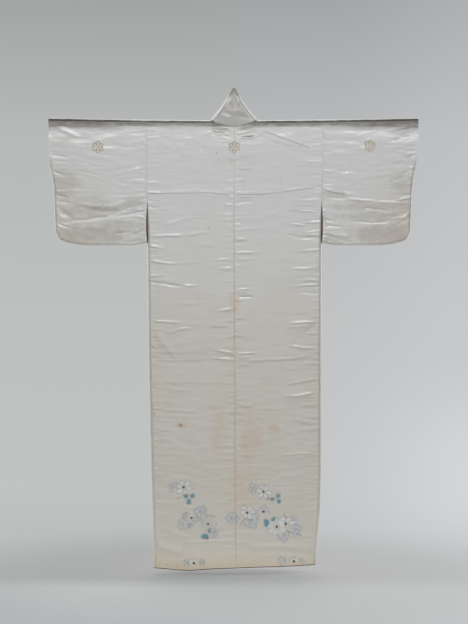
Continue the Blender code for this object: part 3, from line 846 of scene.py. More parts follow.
# %% Sheet maker
def make_sheet(name, points, faces, materials, thickness=SHELL):
    """A sheet of cloth from rows of points. faces is the way that its first row looks."""
    rows, columns = points.shape[:2]
    cut = cut_places(points)
    sheet = bmesh.new()
    bmesh.ops.create_grid(sheet, x_segments=columns - 1, y_segments=rows - 1, size=0.5)
    border = [edge.is_boundary for edge in sheet.edges]
    piece = new_piece(name, sheet, materials)
    piece.data.edges.foreach_set("use_edge_sharp", border)
    flat = np.empty(rows * columns * 3)
    piece.data.vertices.foreach_get("co", flat)
    column = np.rint((flat[0::3] + 0.5) * (columns - 1)).astype(int)
    row = np.rint((flat[1::3] + 0.5) * (rows - 1)).astype(int)
    here = cut[row, column]
    to_inner = here[:, 0]
    to_outer = cut[0, -1, 0] - here[:, 0]
    place_points(piece, points[row, column], here, np.stack((to_inner, to_outer), axis=-1))
    if piece.data.polygons[columns // 2].normal.dot(Vector(faces)) < 0:
        piece.data.flip_normals()
    solid = piece.modifiers.new("wall", "SOLIDIFY")
    solid.thickness = thickness
    solid.offset = 0.0
    solid.material_offset = len(materials) - 1
    return piece


def new_piece(name, shape, materials):
    """Finish a bmesh as a smooth piece that moves with the garment."""
    mesh = bpy.data.meshes.new(name)
    shape.to_mesh(mesh)
    shape.free()
    mesh.shade_smooth()
    for material in materials:
        mesh.materials.append(material)
    piece = bpy.data.objects.new(name, mesh)
    bpy.context.scene.collection.objects.link(piece)
    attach(piece, BODY)
    return piece


# %% [markdown]
# ## Writing shaders as sums
# A finish is mostly arithmetic on a few patterns. This class wraps a socket of a node tree, so that an
# expression such as `1 - mask` adds the Math node that works it out. Every other node comes from its
# `node` method, which takes the node's type, its settings and what goes into its sockets.

# %% Shader helper
def plug(node, sockets):
    """Feed a node's sockets, each from another node or with a plain value."""
    for name, value in sockets.items():
        if isinstance(value, Wire):
            value.tree.links.new(value.socket, node.inputs[name])
        else:
            node.inputs[name].default_value = value


class Wire:
    """A socket of a material's node tree that can be used in sums."""

    def __init__(self, tree, socket=None):
        self.tree = tree
        self.socket = socket

    def node(self, kind, settings, sockets, out=0):
        """Add a node. settings are its own properties, stops its colour ramp."""
        made = self.tree.nodes.new(kind)
        stops = settings.pop("stops", None)
        for name, value in settings.items():
            setattr(made, name, value)
        if stops:
            ramp = made.color_ramp.elements
            while len(ramp) < len(stops):
                ramp.new(1.0)
            for stop, (place, colour) in zip(ramp, stops):
                stop.position = place
                stop.color = colour
        plug(made, sockets)
        return Wire(self.tree, made.outputs[out])

    def math(self, operation, first, second):
        return self.node("ShaderNodeMath", {"operation": operation}, {0: first, 1: second})

    def __add__(self, other):
        return self.math("ADD", self, other)

    def __sub__(self, other):
        return self.math("SUBTRACT", self, other)

    def __rsub__(self, other):
        return self.math("SUBTRACT", other, self)

    def __mul__(self, other):
        return self.math("MULTIPLY", self, other)

    def __truediv__(self, other):
        return self.math("DIVIDE", self, other)

    def __abs__(self):
        return self.math("ABSOLUTE", self, 0.0)

    __radd__ = __add__
    __rmul__ = __mul__

    def rise(self, low, high):
        """0 below low, 1 above high and smooth between. Low may be above high."""
        settings = {"interpolation_type": "SMOOTHSTEP"}
        return self.node("ShaderNodeMapRange", settings, {"Value": self, "From Min": low, "From Max": high})

    def mixed(self, first, second, share):
        """A colour between two others."""
        settings = {"data_type": "RGBA", "blend_type": "MIX"}
        return self.node("ShaderNodeMix", settings, {"Factor": share, 6: first, 7: second}, out=2)

    def part(self, axis):
        """One coordinate of a place."""
        return self.node("ShaderNodeSeparateXYZ", {}, {0: self}, out=axis)

    def noise(self, place, scale, detail=3.0, roughness=0.5):
        sockets = {"Vector": place, "Scale": scale, "Detail": detail, "Roughness": roughness}
        return self.node("ShaderNodeTexNoise", {}, sockets)

    def stretched(self, place, scale):
        """A place vector scaled by a different amount along each axis."""
        return self.node("ShaderNodeMapping", {}, {"Vector": place, "Scale": scale})

    def place(self):
        """The place in metres from the middle of the rod."""
        return self.node("ShaderNodeTexCoord", {}, {}, out="Object")

    def on_cut(self, name="cut"):
        """The place on the flat cut in metres, or with "edge" the ways to its two long edges."""
        return self.node("ShaderNodeUVMap", {"uv_map": name}, {})

    def bump(self, height, strength, distance):
        return self.node("ShaderNodeBump", {}, {"Height": height, "Strength": strength, "Distance": distance})


def linear(red, green, blue):
    """A colour as seen on a screen, 0 to 255, in the linear units of a shader."""
    channels = [value / 255 for value in (red, green, blue)]
    return (*[c / 12.92 if c < 0.04045 else ((c + 0.055) / 1.055) ** 2.4 for c in channels], 1.0)


def new_material(name):
    """A material with only its Principled shader, and a Wire to build on."""
    material = bpy.data.materials.new(name)
    material.use_nodes = True
    return material.node_tree.nodes["Principled BSDF"], Wire(material.node_tree), material


# %% [markdown]
# ## White satin, yellowed towards the hem
# Satin floats its warp threads over many wefts, so it reflects like a soft mirror: bright where it faces
# the lamps, nearly grey where it turns away. A moderate roughness with a share of metallic reflection
# gives most of that by itself, and painted shade in the colour adds the rest. Age shows in the colour: cool
# white at the shoulders, cream lower down, brownish at the hem and along the centre seam, with a few
# blotches. The tables hold one row for each mark, in metres: where it lies, how wide and high it is and
# how strong. Wide faint ones are painted shade over the dull folds of the sleeves and of the neck. The
# lines are painted shade along creases and under the collar's seam, darker than the relief makes them.

# %% Stains of the back, as found, and painted shade of its folds and creases
Stain = namedtuple("Stain", "x z wide high strength")
STAINS = table_of(
    Stain,
    (0.031, -0.202, 0.014, 0.014, 0.22), (0.162, -0.196, 0.005, 0.009, 0.35),
    (0.164, -0.114, 0.010, 0.008, 0.16), (0.003, -0.616, 0.022, 0.030, 0.34),
    (-0.076, -0.640, 0.014, 0.012, 0.22), (0.060, -0.646, 0.020, 0.013, 0.18),
    (0.050, -0.736, 0.024, 0.012, 0.18), (-0.180, -1.034, 0.021, 0.013, 0.60),
    (-0.052, -1.060, 0.026, 0.100, 0.34), (0.058, -1.070, 0.040, 0.120, 0.36),
    (0.137, -1.046, 0.022, 0.016, 0.45), (0.024, -1.230, 0.060, 0.140, 0.26),
)
# Painted shade: wide faint patches darken the cloth where the folds of the sleeves and the neck are shaded.
SHADES = table_of(
    Stain,
    (-0.579, -0.209, 0.056, 0.060, 0.60), (-0.500, -0.268, 0.080, 0.020, 0.45),
    (-0.474, -0.300, 0.125, 0.020, 0.75), (-0.335, -0.262, 0.045, 0.014, 0.60),
    (-0.486, -0.380, 0.170, 0.036, 0.85), (-0.383, -0.346, 0.090, 0.016, 0.60),
    (-0.580, -0.052, 0.050, 0.022, 0.30), (0.578, -0.203, 0.056, 0.034, 0.60),
    (0.345, -0.240, 0.050, 0.010, 0.70), (0.444, -0.283, 0.130, 0.018, 0.60),
    (0.475, -0.318, 0.140, 0.016, 0.60), (0.584, -0.284, 0.045, 0.014, 0.50),
    (0.520, -0.378, 0.130, 0.036, 0.85), (0.345, -0.404, 0.060, 0.012, 0.40),
    (-0.048, -0.032, 0.060, 0.013, 0.34), (0.052, -0.036, 0.050, 0.012, 0.26),
    (0.046, -0.122, 0.060, 0.015, 0.26), (-0.030, -0.128, 0.045, 0.015, 0.22),
)
SPECKS = table_of(
    Stain,
    (-0.182, -1.033, 0.007, 0.005, 0.70), (-0.272, -0.994, 0.004, 0.004, 0.45),
    (-0.060, -0.098, 0.003, 0.003, 0.80), (0.131, -0.288, 0.003, 0.003, 0.60),
    (-0.085, -0.357, 0.003, 0.003, 0.50), (-0.078, -0.974, 0.003, 0.003, 0.45),
)
# Painted shade: thin dark lines along creases and under the collar's seam, darker than the relief makes them.
PaintedCreaseShade = namedtuple("PaintedCreaseShade", "x0 z0 x1 z1 strength")
PAINTED_CREASE_SHADES = table_of(
    PaintedCreaseShade,
    (-0.300, -0.2405, -0.070, -0.2360, 0.30), (-0.085, -0.2355, -0.002, -0.2445, 0.42),
    (0.002, -0.2430, 0.112, -0.2415, 0.34), (0.085, -0.2430, 0.285, -0.2190, 0.34),
    (0.092, -0.0200, 0.268, -0.0850, 0.42), (0.128, -0.0560, 0.246, -0.0850, 0.20),
    (-0.086, -0.0050, -0.006, -0.0180, 0.55), (0.008, -0.0160, 0.084, -0.0010, 0.60),
    (0.010, -0.0190, 0.058, -0.0110, 0.30), (-0.282, -0.8060, -0.020, -0.8060, 0.16),
    (0.150, -0.8110, 0.290, -0.7930, 0.16), (0.196, -0.3390, 0.292, -0.3440, 0.28),
    (0.180, -0.2960, 0.292, -0.3040, 0.28), (0.008, -0.1570, 0.072, -0.1540, 0.30),
    (0.008, -0.2550, 0.069, -0.2530, 0.30), (-0.040, -0.2750, -0.003, -0.2800, 0.28),
    (0.215, -0.2560, 0.280, -0.2520, 0.26), (0.195, -0.2790, 0.290, -0.2830, 0.30),
    (0.020, -0.0460, 0.078, -0.0400, 0.40),
)
# The soiled folds counted here are lines of painted crease shade, and the stains include the painted fold
# shades.
print(len(STAINS) + len(SHADES) + len(SPECKS), "stains and", len(PAINTED_CREASE_SHADES), "soiled folds")

# %% Colours of the satin, clean and aged, and of the painted shade
WHITE = linear(213, 214, 214)
CREAM = linear(207, 203, 193)
# Colours of the painted shade on the standing collar.
COLLAR_SHADE_GREY = linear(172, 171, 169)
COLLAR_SHADE_TAN = linear(138, 134, 127)
HEM_BROWN = linear(203, 181, 148)
SEAM_BROWN = linear(196, 174, 148)
# Colours of the painted shade along creases, over the rod and towards the sleeves' ends.
PAINTED_SHADE_GREY = linear(62, 62, 56)
PAINTED_SHADE_BROWN = linear(112, 94, 74)
STAIN_BROWN = linear(205, 178, 150)
SPECK_BROWN = linear(140, 104, 74)
# Colour of the painted fold shade.
FOLD_SHADE = linear(186, 180, 171)
THREAD_GREY = linear(205, 203, 198)


# %% [markdown]
# The finish is built in layers: first the silk itself, then what has soaked into its edges and seams,
# then blotches, specks and painted fold shade, and last painted shade along creases and over the rod.
# Each layer is one function that takes the colour so far and gives the next one. Ragged edges come from
# noise that is added to the distance from a mark before the distance becomes a share of colour.

# %% Patterns that every layer uses
Spot = namedtuple("Spot", "x z back clouds blotch fleck threads grain")


def satin_patterns(wire):
    """Where a point lies, whether it is on the back, and the noises of different sizes."""
    place = wire.place()
    threads = wire.noise(wire.stretched(wire.on_cut(), (40.0, 900.0, 1.0)), 1.0, 2.0)
    return Spot(
        x=place.part("X"),
        z=place.part("Z"),
        back=place.part("Y").rise(0.004, -0.002),
        clouds=wire.noise(wire.stretched(place, (3.0, 3.0, 2.2)), 2.0, 4.0),
        blotch=wire.noise(place, 38.0, 4.0, 0.6),
        fleck=wire.noise(place, 150.0, 3.0, 0.6),
        threads=threads,
        grain=threads.rise(0.2, 0.8),
    )


def silk_colour(wire, spot):
    """Cool white at the shoulders, cream lower down and out on the sleeves."""
    fall = spot.z.rise(-0.16, -0.90)
    outwards = abs(spot.x).rise(0.33, 0.62) * spot.z.rise(-0.02, -0.36)
    warmth = fall * 0.80 + outwards * 0.75 + (spot.clouds - 0.5) * 0.55
    return wire.mixed(WHITE, CREAM, warmth.rise(0.0, 1.0))


# %% Seams, hem, blotches and specks
SEAM_STAIN_WIDTH = 0.0035
HEM_STAIN_SHARE = 0.62
STAIN_RAGGED = 2.6
STAIN_FLECKED = 2.0
STAIN_EDGE = 1.15
COLLAR_EDGE_TOP = 0.124
COLLAR_EDGE_SLOPE = 0.712


def soiled_edges(wire, spot, colour):
    """Brown along the side seams, the centre seam and the hem."""
    edge = wire.on_cut("edge")
    side = edge.part("Y").rise(0.0045, 0.0010) * spot.z.rise(0.0, -0.03)
    on_sleeve = abs(spot.x).rise(0.300, 0.310)
    colour = wire.mixed(colour, SEAM_BROWN, side * (0.8 - on_sleeve * 0.5))
    seam = edge.part("X").rise(SEAM_STAIN_WIDTH, 0.0008) * (0.22 + spot.z.rise(-0.10, -0.75) * 0.45)
    colour = wire.mixed(colour, SEAM_BROWN, seam * spot.back)
    hem = (spot.z + (spot.blotch - 0.5) * 0.05).rise(-1.455, -1.530)
    return wire.mixed(colour, HEM_BROWN, hem * HEM_STAIN_SHARE)


def stained_or_shaded(wire, spot, colour, stains, ragged, tint):
    """Ragged round patches, strongest in their middles: real stains, or painted shade of folds."""
    for stain in stains:
        across = (spot.x - stain.x) / stain.wide
        along = (spot.z - stain.z) / stain.high
        distance = across * across + along * along + (ragged - 0.5) * STAIN_RAGGED
        distance = distance + (spot.fleck - 0.5) * STAIN_FLECKED
        colour = wire.mixed(colour, tint, distance.rise(STAIN_EDGE, 0.0) * spot.back * stain.strength)
    return colour


def shade_collar(wire, spot, colour):
    """Painted shade on the standing collar behind the neck, darker and browner towards its top, left off
    along its two slanted edges.
    """
    shade_depth = spot.z.rise(0.005, 0.070) * 0.85 + (spot.clouds - 0.5) * 0.8
    collar_shade_colour = wire.mixed(COLLAR_SHADE_GREY, COLLAR_SHADE_TAN, shade_depth.rise(0.0, 1.0))
    inside = (COLLAR_EDGE_TOP - spot.z) * COLLAR_EDGE_SLOPE - abs(spot.x)
    unshaded_edge = inside.rise(0.0210, 0.0100) * spot.z.rise(0.0, 0.015) * spot.z.rise(0.105, 0.085)
    return wire.mixed(colour, collar_shade_colour, spot.z.rise(-0.130, 0.0) * (1 - unshaded_edge * 0.9))


# %% Painted shade along creases and over the rod
FOLD_LINE = 0.0021
FOLD_FADE = 0.020
SHOULDER_SHADE_SHARE = 0.78
SLEEVE_END_SHARE = 0.45


def rod_arc(x):
    """Height of the bent rod's axis, worked out from a shader's x."""
    return x * x * (ROD_BOW / (ROD_LENGTH / 2) ** 2)


def paint_crease_shades(wire, spot, colour):
    """Painted shade: thin grey lines along creases that drift a little and fade out at both ends."""
    drift = (spot.clouds - 0.5) * 0.006
    for fold in PAINTED_CREASE_SHADES:
        slope = (fold.z1 - fold.z0) / (fold.x1 - fold.x0)
        off = spot.z - (spot.x - fold.x0) * slope - fold.z0 + drift
        along = spot.x.rise(fold.x0, fold.x0 + FOLD_FADE) * spot.x.rise(fold.x1, fold.x1 - FOLD_FADE)
        line = abs(off).rise(FOLD_LINE, 0.0006) * along * spot.back
        colour = wire.mixed(colour, PAINTED_SHADE_GREY, line * fold.strength)
    return colour


def paint_shoulder_shade(wire, spot, colour):
    """Painted shade: grey where the cloth turns over the rod, and brown around that towards the sleeves'
    ends.
    """
    above = spot.z - rod_arc(spot.x) + (spot.blotch - 0.5) * 0.012
    shoulder_shade = above.rise(-0.0130, 0.001) * above.rise(0.0110, 0.0080) * SHOULDER_SHADE_SHARE
    ends = (above + (spot.clouds - 0.5) * 0.030).rise(-0.032, -0.010)
    ends = ends * abs(spot.x).rise(0.28, 0.50) * SLEEVE_END_SHARE
    colour = wire.mixed(colour, PAINTED_SHADE_BROWN, ends)
    return wire.mixed(colour, PAINTED_SHADE_GREY, shoulder_shade)


# %% [markdown]
# Fine threads, and the slack between them, are too small to model and go into a bump that follows the
# flat cut. The thread tint goes between the blotches and the painted shade, so that the shade lies over the
# threads.

# %% The satin's two materials
def make_satin(name, body_stains_and_shades=True):
    """The body's satin with its stains and painted shade, or the collar's, which has painted shade of its
    own.
    """
    shader, wire, material = new_material(name)
    spot = satin_patterns(wire)
    colour = silk_colour(wire, spot)
    if body_stains_and_shades:
        colour = soiled_edges(wire, spot, colour)
        colour = stained_or_shaded(wire, spot, colour, STAINS, spot.blotch, STAIN_BROWN)
        # Painted shade over the wide folds of the sleeves and the neck.
        colour = stained_or_shaded(wire, spot, colour, SHADES, spot.blotch, FOLD_SHADE)
        colour = stained_or_shaded(wire, spot, colour, SPECKS, spot.fleck, SPECK_BROWN)
    else:
        # The collar gets painted shade where it stands up behind the neck.
        colour = shade_collar(wire, spot, colour)
    specks = spot.blotch.rise(0.735, 0.80) * spot.clouds.rise(0.50, 0.62)
    colour = wire.mixed(colour, STAIN_BROWN, specks * 0.5)
    colour = wire.mixed(colour, THREAD_GREY, (1 - spot.grain) * 0.16)
    # Last comes painted shade: along creases and where the cloth turns over the rod.
    if body_stains_and_shades:
        colour = paint_crease_shades(wire, spot, colour)
        colour = paint_shoulder_shade(wire, spot, colour)
    cut = wire.on_cut()
    weave_sockets = {"Vector": cut, "Scale": 420.0, "Distortion": 1.5}
    weave = wire.node("ShaderNodeTexWave", {"bands_direction": "X"}, weave_sockets)
    slack_in_cloth = wire.noise(wire.stretched(cut, (9.0, 90.0, 1.0)), 1.0, 3.0)
    dents = wire.noise(wire.stretched(cut, (16.0, 30.0, 1.0)), 1.0, 2.0)
    height = slack_in_cloth + dents * 4.0 + spot.threads * 0.12 + weave * 0.03
    plug(shader, {
        "Base Color": colour,
        "Roughness": 0.27 + spot.clouds * 0.05 + spot.grain * 0.03,
        "Normal": wire.bump(height, 0.35, 0.0012),
        "Metallic": 0.22,
        "Specular IOR Level": 0.9,
        "Sheen Weight": 0.10,
        "Sheen Roughness": 0.4,
    })
    print(name, len(wire.tree.nodes), "nodes")
    return material


satin = make_satin("satin")
collar_satin = make_satin("collar_satin", body_stains_and_shades=False)


# %% [markdown]
# ## Dark red lining silk
# The lining is a plain weave, much duller than satin: threads run both ways, and the gaps between them
# are dark. The roll along the hem gets darker browns of its own, painted shade for the dark line under it.

# %% Lining silk
def make_lining_silk(name, dark, light):
    """A plain weave of two thread directions, cloudy between two shades."""
    shader, wire, material = new_material(name)
    cut = wire.on_cut()
    clouds = wire.noise(cut, 18.0, 3.0)
    warp = wire.noise(wire.stretched(cut, (1400.0, 60.0, 1.0)), 1.0, 2.0)
    weft = wire.noise(wire.stretched(cut, (60.0, 1400.0, 1.0)), 1.0, 2.0)
    colour = wire.mixed(dark, light, clouds.rise(0.3, 0.7))
    colour = wire.mixed(colour, dark, (warp * weft).rise(0.30, 0.15) * 0.6)
    plug(shader, {
        "Base Color": colour,
        "Normal": wire.bump(warp + weft, 0.4, 0.0004),
        "Roughness": 0.65,
        "Specular IOR Level": 0.25,
        "Sheen Weight": 0.05,
    })
    return material


lining_silk = make_lining_silk("lining_silk", linear(104, 7, 9), linear(142, 15, 15))
# The hem roll's dark browns are painted shade for the dark line under the hem.
shaded_hem_silk = make_lining_silk("shaded_hem_silk", linear(40, 16, 14), linear(66, 30, 24))

# %% [markdown]
# ## Body, sleeves, overlaps and collar
# Now the panels are cut and hung. Each replaces its own part of the frame. The body panels are the
# longest: one width of silk from the back hem to the front hem, 3.09 m, with no seam at the shoulder.

# %% Body panels
CENTRE_SEAM_TOP = -0.002
BODY_WIDTH = 0.2965

body_columns = columns_for(BODY_WIDTH)
centre_top = CENTRE_SEAM_TOP / hem_height(0.0)
over_angles = np.linspace(0, math.pi, OVER_STEPS + 1)
for side in (LEFT, RIGHT):
    back_rows = np.append(steps(1.0, centre_top, HEM_DROP, ROW), 0.0)
    points = np.concatenate([
        stretch(body_back, side, body_columns, back_rows),
        stretch(body_over, side, body_columns, over_angles[1:-1]),
        stretch(body_front, side, body_columns, steps(0.0, 1.0, HEM_DROP, FRONT_ROW)),
    ])
    name = f"body_{SIDE_NAMES[side]}"
    panel = make_sheet(f"satin_{name}", points, (0, -1, 0), [satin, lining_silk])
    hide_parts(name)
    print(panel.name, len(panel.data.polygons), "faces")

# %% Sleeves
SLEEVE_WIDTH = 0.338

sleeve_columns = columns_for(SLEEVE_WIDTH)
for side in (LEFT, RIGHT):
    points = np.concatenate([
        stretch(sleeve_back, side, sleeve_columns, steps(1.0, 0.0, -SLEEVE_BOTTOM, ROW)),
        stretch(sleeve_over, side, sleeve_columns, over_angles[1:-1]),
        stretch(sleeve_front, side, sleeve_columns, steps(0.0, 1.0, -SLEEVE_BOTTOM, FRONT_ROW)),
    ])
    name = f"sleeve_{SIDE_NAMES[side]}"
    sleeve = make_sheet(f"satin_{name}", points, (0, -1, 0), [satin, lining_silk])
    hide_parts(name)
    print(sleeve.name, len(sleeve.data.polygons), "faces")

# %% Overlap panels
OKUMI_LENGTH = 1.40
okumi_columns = columns_for(OKUMI_WIDTH)
for side in (LEFT, RIGHT):
    points = stretch(okumi, side, okumi_columns, steps(0.0, 1.0, OKUMI_LENGTH, FRONT_ROW))
    name = f"okumi_{SIDE_NAMES[side]}"
    panel = make_sheet(f"satin_{name}", points, (0, 1, 0), [satin, lining_silk])
    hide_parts(name)
    print(panel.name, len(panel.data.polygons), "faces")

# %% [markdown]
# The collar is one long band, folded in two lengthwise, that runs up one front, stands up behind the neck
# in a pointed triangle and runs down the other front. Its columns follow that path in order, left front
# first.

# %% Collar band
COLLAR_ROW = 0.0045
COLLAR_COLUMN = 0.008
COLLAR_TURN_STEPS = 20
collar_rows = steps(0.0, 1.0, COLLAR_WIDTH, COLLAR_ROW)
fan = np.linspace(0.0, 1.0, COLLAR_TURN_STEPS)
turn = np.linspace(-math.pi / 2, math.pi / 2, COLLAR_TURN_STEPS)
fall = steps(0.0, 1.0, -COLLAR_END, COLLAR_COLUMN)


def collar_half(side):
    """Columns of points from the middle of the neck to the end of one front."""
    stretches = [
        stretch(collar_back, side, collar_rows, fan),
        stretch(collar_bend, side, collar_rows, turn[1:-1]),
        stretch(collar_front, side, collar_rows, fall),
    ]
    return np.concatenate(stretches)


left_half, right_half = collar_half(LEFT), collar_half(RIGHT)
collar_points = np.concatenate([left_half[:0:-1], right_half])
collar = make_sheet("satin_collar", collar_points, (0, 1, 0), [collar_satin])
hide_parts("collar")
print("collar points", collar_points.shape)

# %% [markdown]
# ## Lining
# The dark red lining shows in two places: inside the slits between body and sleeve, and as a thin roll
# along the hem, where it is turned out past the satin to take the wear. The strips in the slits are made
# from the panels' own functions, moved inwards.

# %% Lining inside the slits
LINING_INSET = 0.0022
LINING_WALL = 0.0008
LINING_TOP = ARMHOLE_END + 0.020
LINING_FOOT = {"body": -0.366, "sleeve": -0.396}
LINING_RUN = 0.13
LINING_SHARE = 0.14
LINING_COLUMNS = 7
body_edge = np.linspace(1 - LINING_SHARE, 1.0, LINING_COLUMNS)
sleeve_edge = np.linspace(0.0, LINING_SHARE, LINING_COLUMNS)
strips = {
    ("body", "back"): (body_back, body_edge),
    ("body", "front"): (body_front, body_edge),
    ("sleeve", "back"): (sleeve_back, sleeve_edge),
    ("sleeve", "front"): (sleeve_front, sleeve_edge),
}
for side in (LEFT, RIGHT):
    for (owner, part), (surface, across) in strips.items():
        bottom = hem_height(0.0) if owner == "body" else SLEEVE_BOTTOM
        rows = steps(LINING_FOOT[owner] / bottom, LINING_TOP / bottom, LINING_RUN, ROW)
        points = stretch(surface, side, across, rows, LINING_INSET)
        name = f"lining_{owner}_{SIDE_NAMES[side]}_{part}"
        faces = (0, -1, 0) if part == "back" else (0, 1, 0)
        strip = make_sheet(f"silk_{name}", points, faces, [lining_silk], LINING_WALL)
        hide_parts(name)
        print(strip.name, len(strip.data.polygons), "faces")


# %% [markdown]
# The hem's roll and the rod are both round sections drawn along a line, so one function makes them: a
# cylinder is cut into as many rings as the line has points, and each ring is moved to its point and
# turned square to the line.

# %% Sweeping a round section along a path
def sweep(path, radii, sides):
    """Bend a cylinder along a list of points. radii gives the section's radius at each point."""
    path = [Vector(point) for point in path]
    tube = bmesh.new()
    bmesh.ops.create_cone(tube, cap_ends=True, segments=sides, radius1=1.0, radius2=1.0, depth=1.0)
    long_edges = [edge for edge in tube.edges if abs(edge.verts[0].co.z - edge.verts[1].co.z) > 0.5]
    bmesh.ops.subdivide_edges(tube, edges=long_edges, cuts=len(path) - 2)
    cut_map = tube.loops.layers.uv.new("cut")
    last = len(path) - 1
    for face in tube.faces:
        for corner in face.loops:
            around = math.atan2(corner.vert.co.y, corner.vert.co.x)
            corner[cut_map].uv = (around * max(radii), (corner.vert.co.z + 0.5) * last)
    for corner in tube.verts:
        index = round((corner.co.z + 0.5) * last)
        before, after = path[max(index - 1, 0)], path[min(index + 1, last)]
        turned = (after - before).to_track_quat("Z", "Y").to_matrix()
        section = Vector((corner.co.x, corner.co.y, 0.0)) * radii[index]
        corner.co = path[index] + turned @ section
    bmesh.ops.recalc_face_normals(tube, faces=tube.faces)
    return tube


# %% Lining rolled out along the hem
HEM_ROLL_RADIUS = 0.0017
HEM_ROLL_DROP = 0.0004
HEM_ROLL_INSET = 0.0006
HEM_ROLL_SIDES = 10
HEM_ROLL_RINGS = 50
hem_shares = np.linspace(0.002, 0.998, HEM_ROLL_RINGS)
for side in (LEFT, RIGHT):
    for part, surface in (("back", body_back), ("front", body_front)):
        points = stretch(surface, side, hem_shares, np.array([1.0]), HEM_ROLL_INSET)[0]
        path = [(x, y, z - HEM_ROLL_DROP) for x, y, z in points]
        roll = sweep(path, [HEM_ROLL_RADIUS] * len(path), HEM_ROLL_SIDES)
        name = f"hem_roll_{SIDE_NAMES[side]}_{part}"
        new_piece(name, roll, [shaded_hem_silk])

# %% [markdown]
# ## The rod
# A plain turned rod runs through both sleeves and carries the whole weight, so it bends up a little at
# its ends. Only its ends would ever be seen. It is one cylinder bent along its own line, with its ends
# drawn in a little.

# %% Hanging rod
ROD_RINGS = 90
ROD_SIDES = 32
ROD_ROUNDING = 0.003


def make_rod_wood():
    """Plain wood with its grain running along the rod."""
    shader, wire, material = new_material("rod_wood")
    grain = wire.noise(wire.stretched(wire.place(), (6.0, 220.0, 220.0)), 1.0, 4.0)
    plug(shader, {
        "Base Color": wire.mixed(linear(150, 112, 74), linear(96, 64, 38), grain.rise(0.35, 0.70)),
        "Normal": wire.bump(grain, 0.3, 0.0004),
        "Roughness": 0.45,
    })
    return material


rod_path = [(x, 0.0, rod_height(x)) for x in np.linspace(-ROD_LENGTH / 2, ROD_LENGTH / 2, ROD_RINGS)]
rod_radii = [ROD_RADIUS] * ROD_RINGS
rod_radii[0] = rod_radii[-1] = ROD_RADIUS - ROD_ROUNDING
rod = new_piece("turned_rod", sweep(rod_path, rod_radii, ROD_SIDES), [make_rod_wood()])
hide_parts("hanging_rod")
print(rod.name, len(rod.data.polygons), "faces")

# %% [markdown]
# ## Embroidery
# Petals and leaf lobes are worked as fans of silk stitches inside a couched outline, raised by well under
# a millimetre. A stitch is one flattened sphere, drawn out to a lens along its thread and laid on the
# cloth, with its underside inside the cloth, as a real stitch has. A round bead is made once, doubled
# until there are enough, and then all beads of one thread colour are moved together as one mesh. The
# motifs are ordinary flowers, lobed leaves and trefoils. Each line below says where one lies, in
# millimetres from the middle of the rod, how large it is and which way it points, in degrees.

# %% The cloth's outer surface at any place on the back or the front
def back_surface(x, z):
    """Depth, as y, of the back's outer face."""
    hem = hem_height(x)
    level = (z - rod_height(x)) / (hem - rod_height(x)) * hem_height(0.0)
    left = x < centre_seam(level)
    side_depths = [back_depth(side, x, z, level) for side in (LEFT, RIGHT)]
    return -np.where(left, *side_depths) - SHELL / 2


def front_surface(x, z):
    """Depth, as y, of the front's outer face: the left front lies over the right one."""
    depth = DEPTH + FRONT_LIFT + OKUMI_FOLD_SHARE * relief(FRONT_RELIEF, x, z)
    return depth + SHELL / 2


def sleeve_surface(side, x, z):
    """Depth, as y, of a sleeve's outer face on the back."""
    return -(DEPTH + relief(SLEEVE_RELIEF[side], x, z)) - SHELL / 2


# %% One bead for each stitch
STITCH_SIDES = 8
STITCH_RINGS = 4


def lens_copies(count):
    """A round bead, drawn once and doubled until there is one for each stitch."""
    drawn = bmesh.new()
    bmesh.ops.create_uvsphere(
        drawn, u_segments=STITCH_SIDES, v_segments=STITCH_RINGS, radius=1.0,
        matrix=Matrix.Rotation(math.pi / 2, 4, "Y"),
    )
    bead = bpy.data.meshes.new("bead")
    drawn.to_mesh(bead)
    drawn.free()
    beads = bmesh.new()
    beads.from_mesh(bead)
    bpy.data.meshes.remove(bead)
    points, faces = len(beads.verts), len(beads.faces)
    have = 1
    while have < count:
        more = min(have, count - have)
        beads.verts.ensure_lookup_table()
        beads.faces.ensure_lookup_table()
        bmesh.ops.duplicate(beads, geom=[*beads.verts[:more * points], *beads.faces[:more * faces]])
        have += more
    return beads


# %% Laying stitches on the cloth
Stitch = namedtuple("Stitch", "x z turn length width height point")


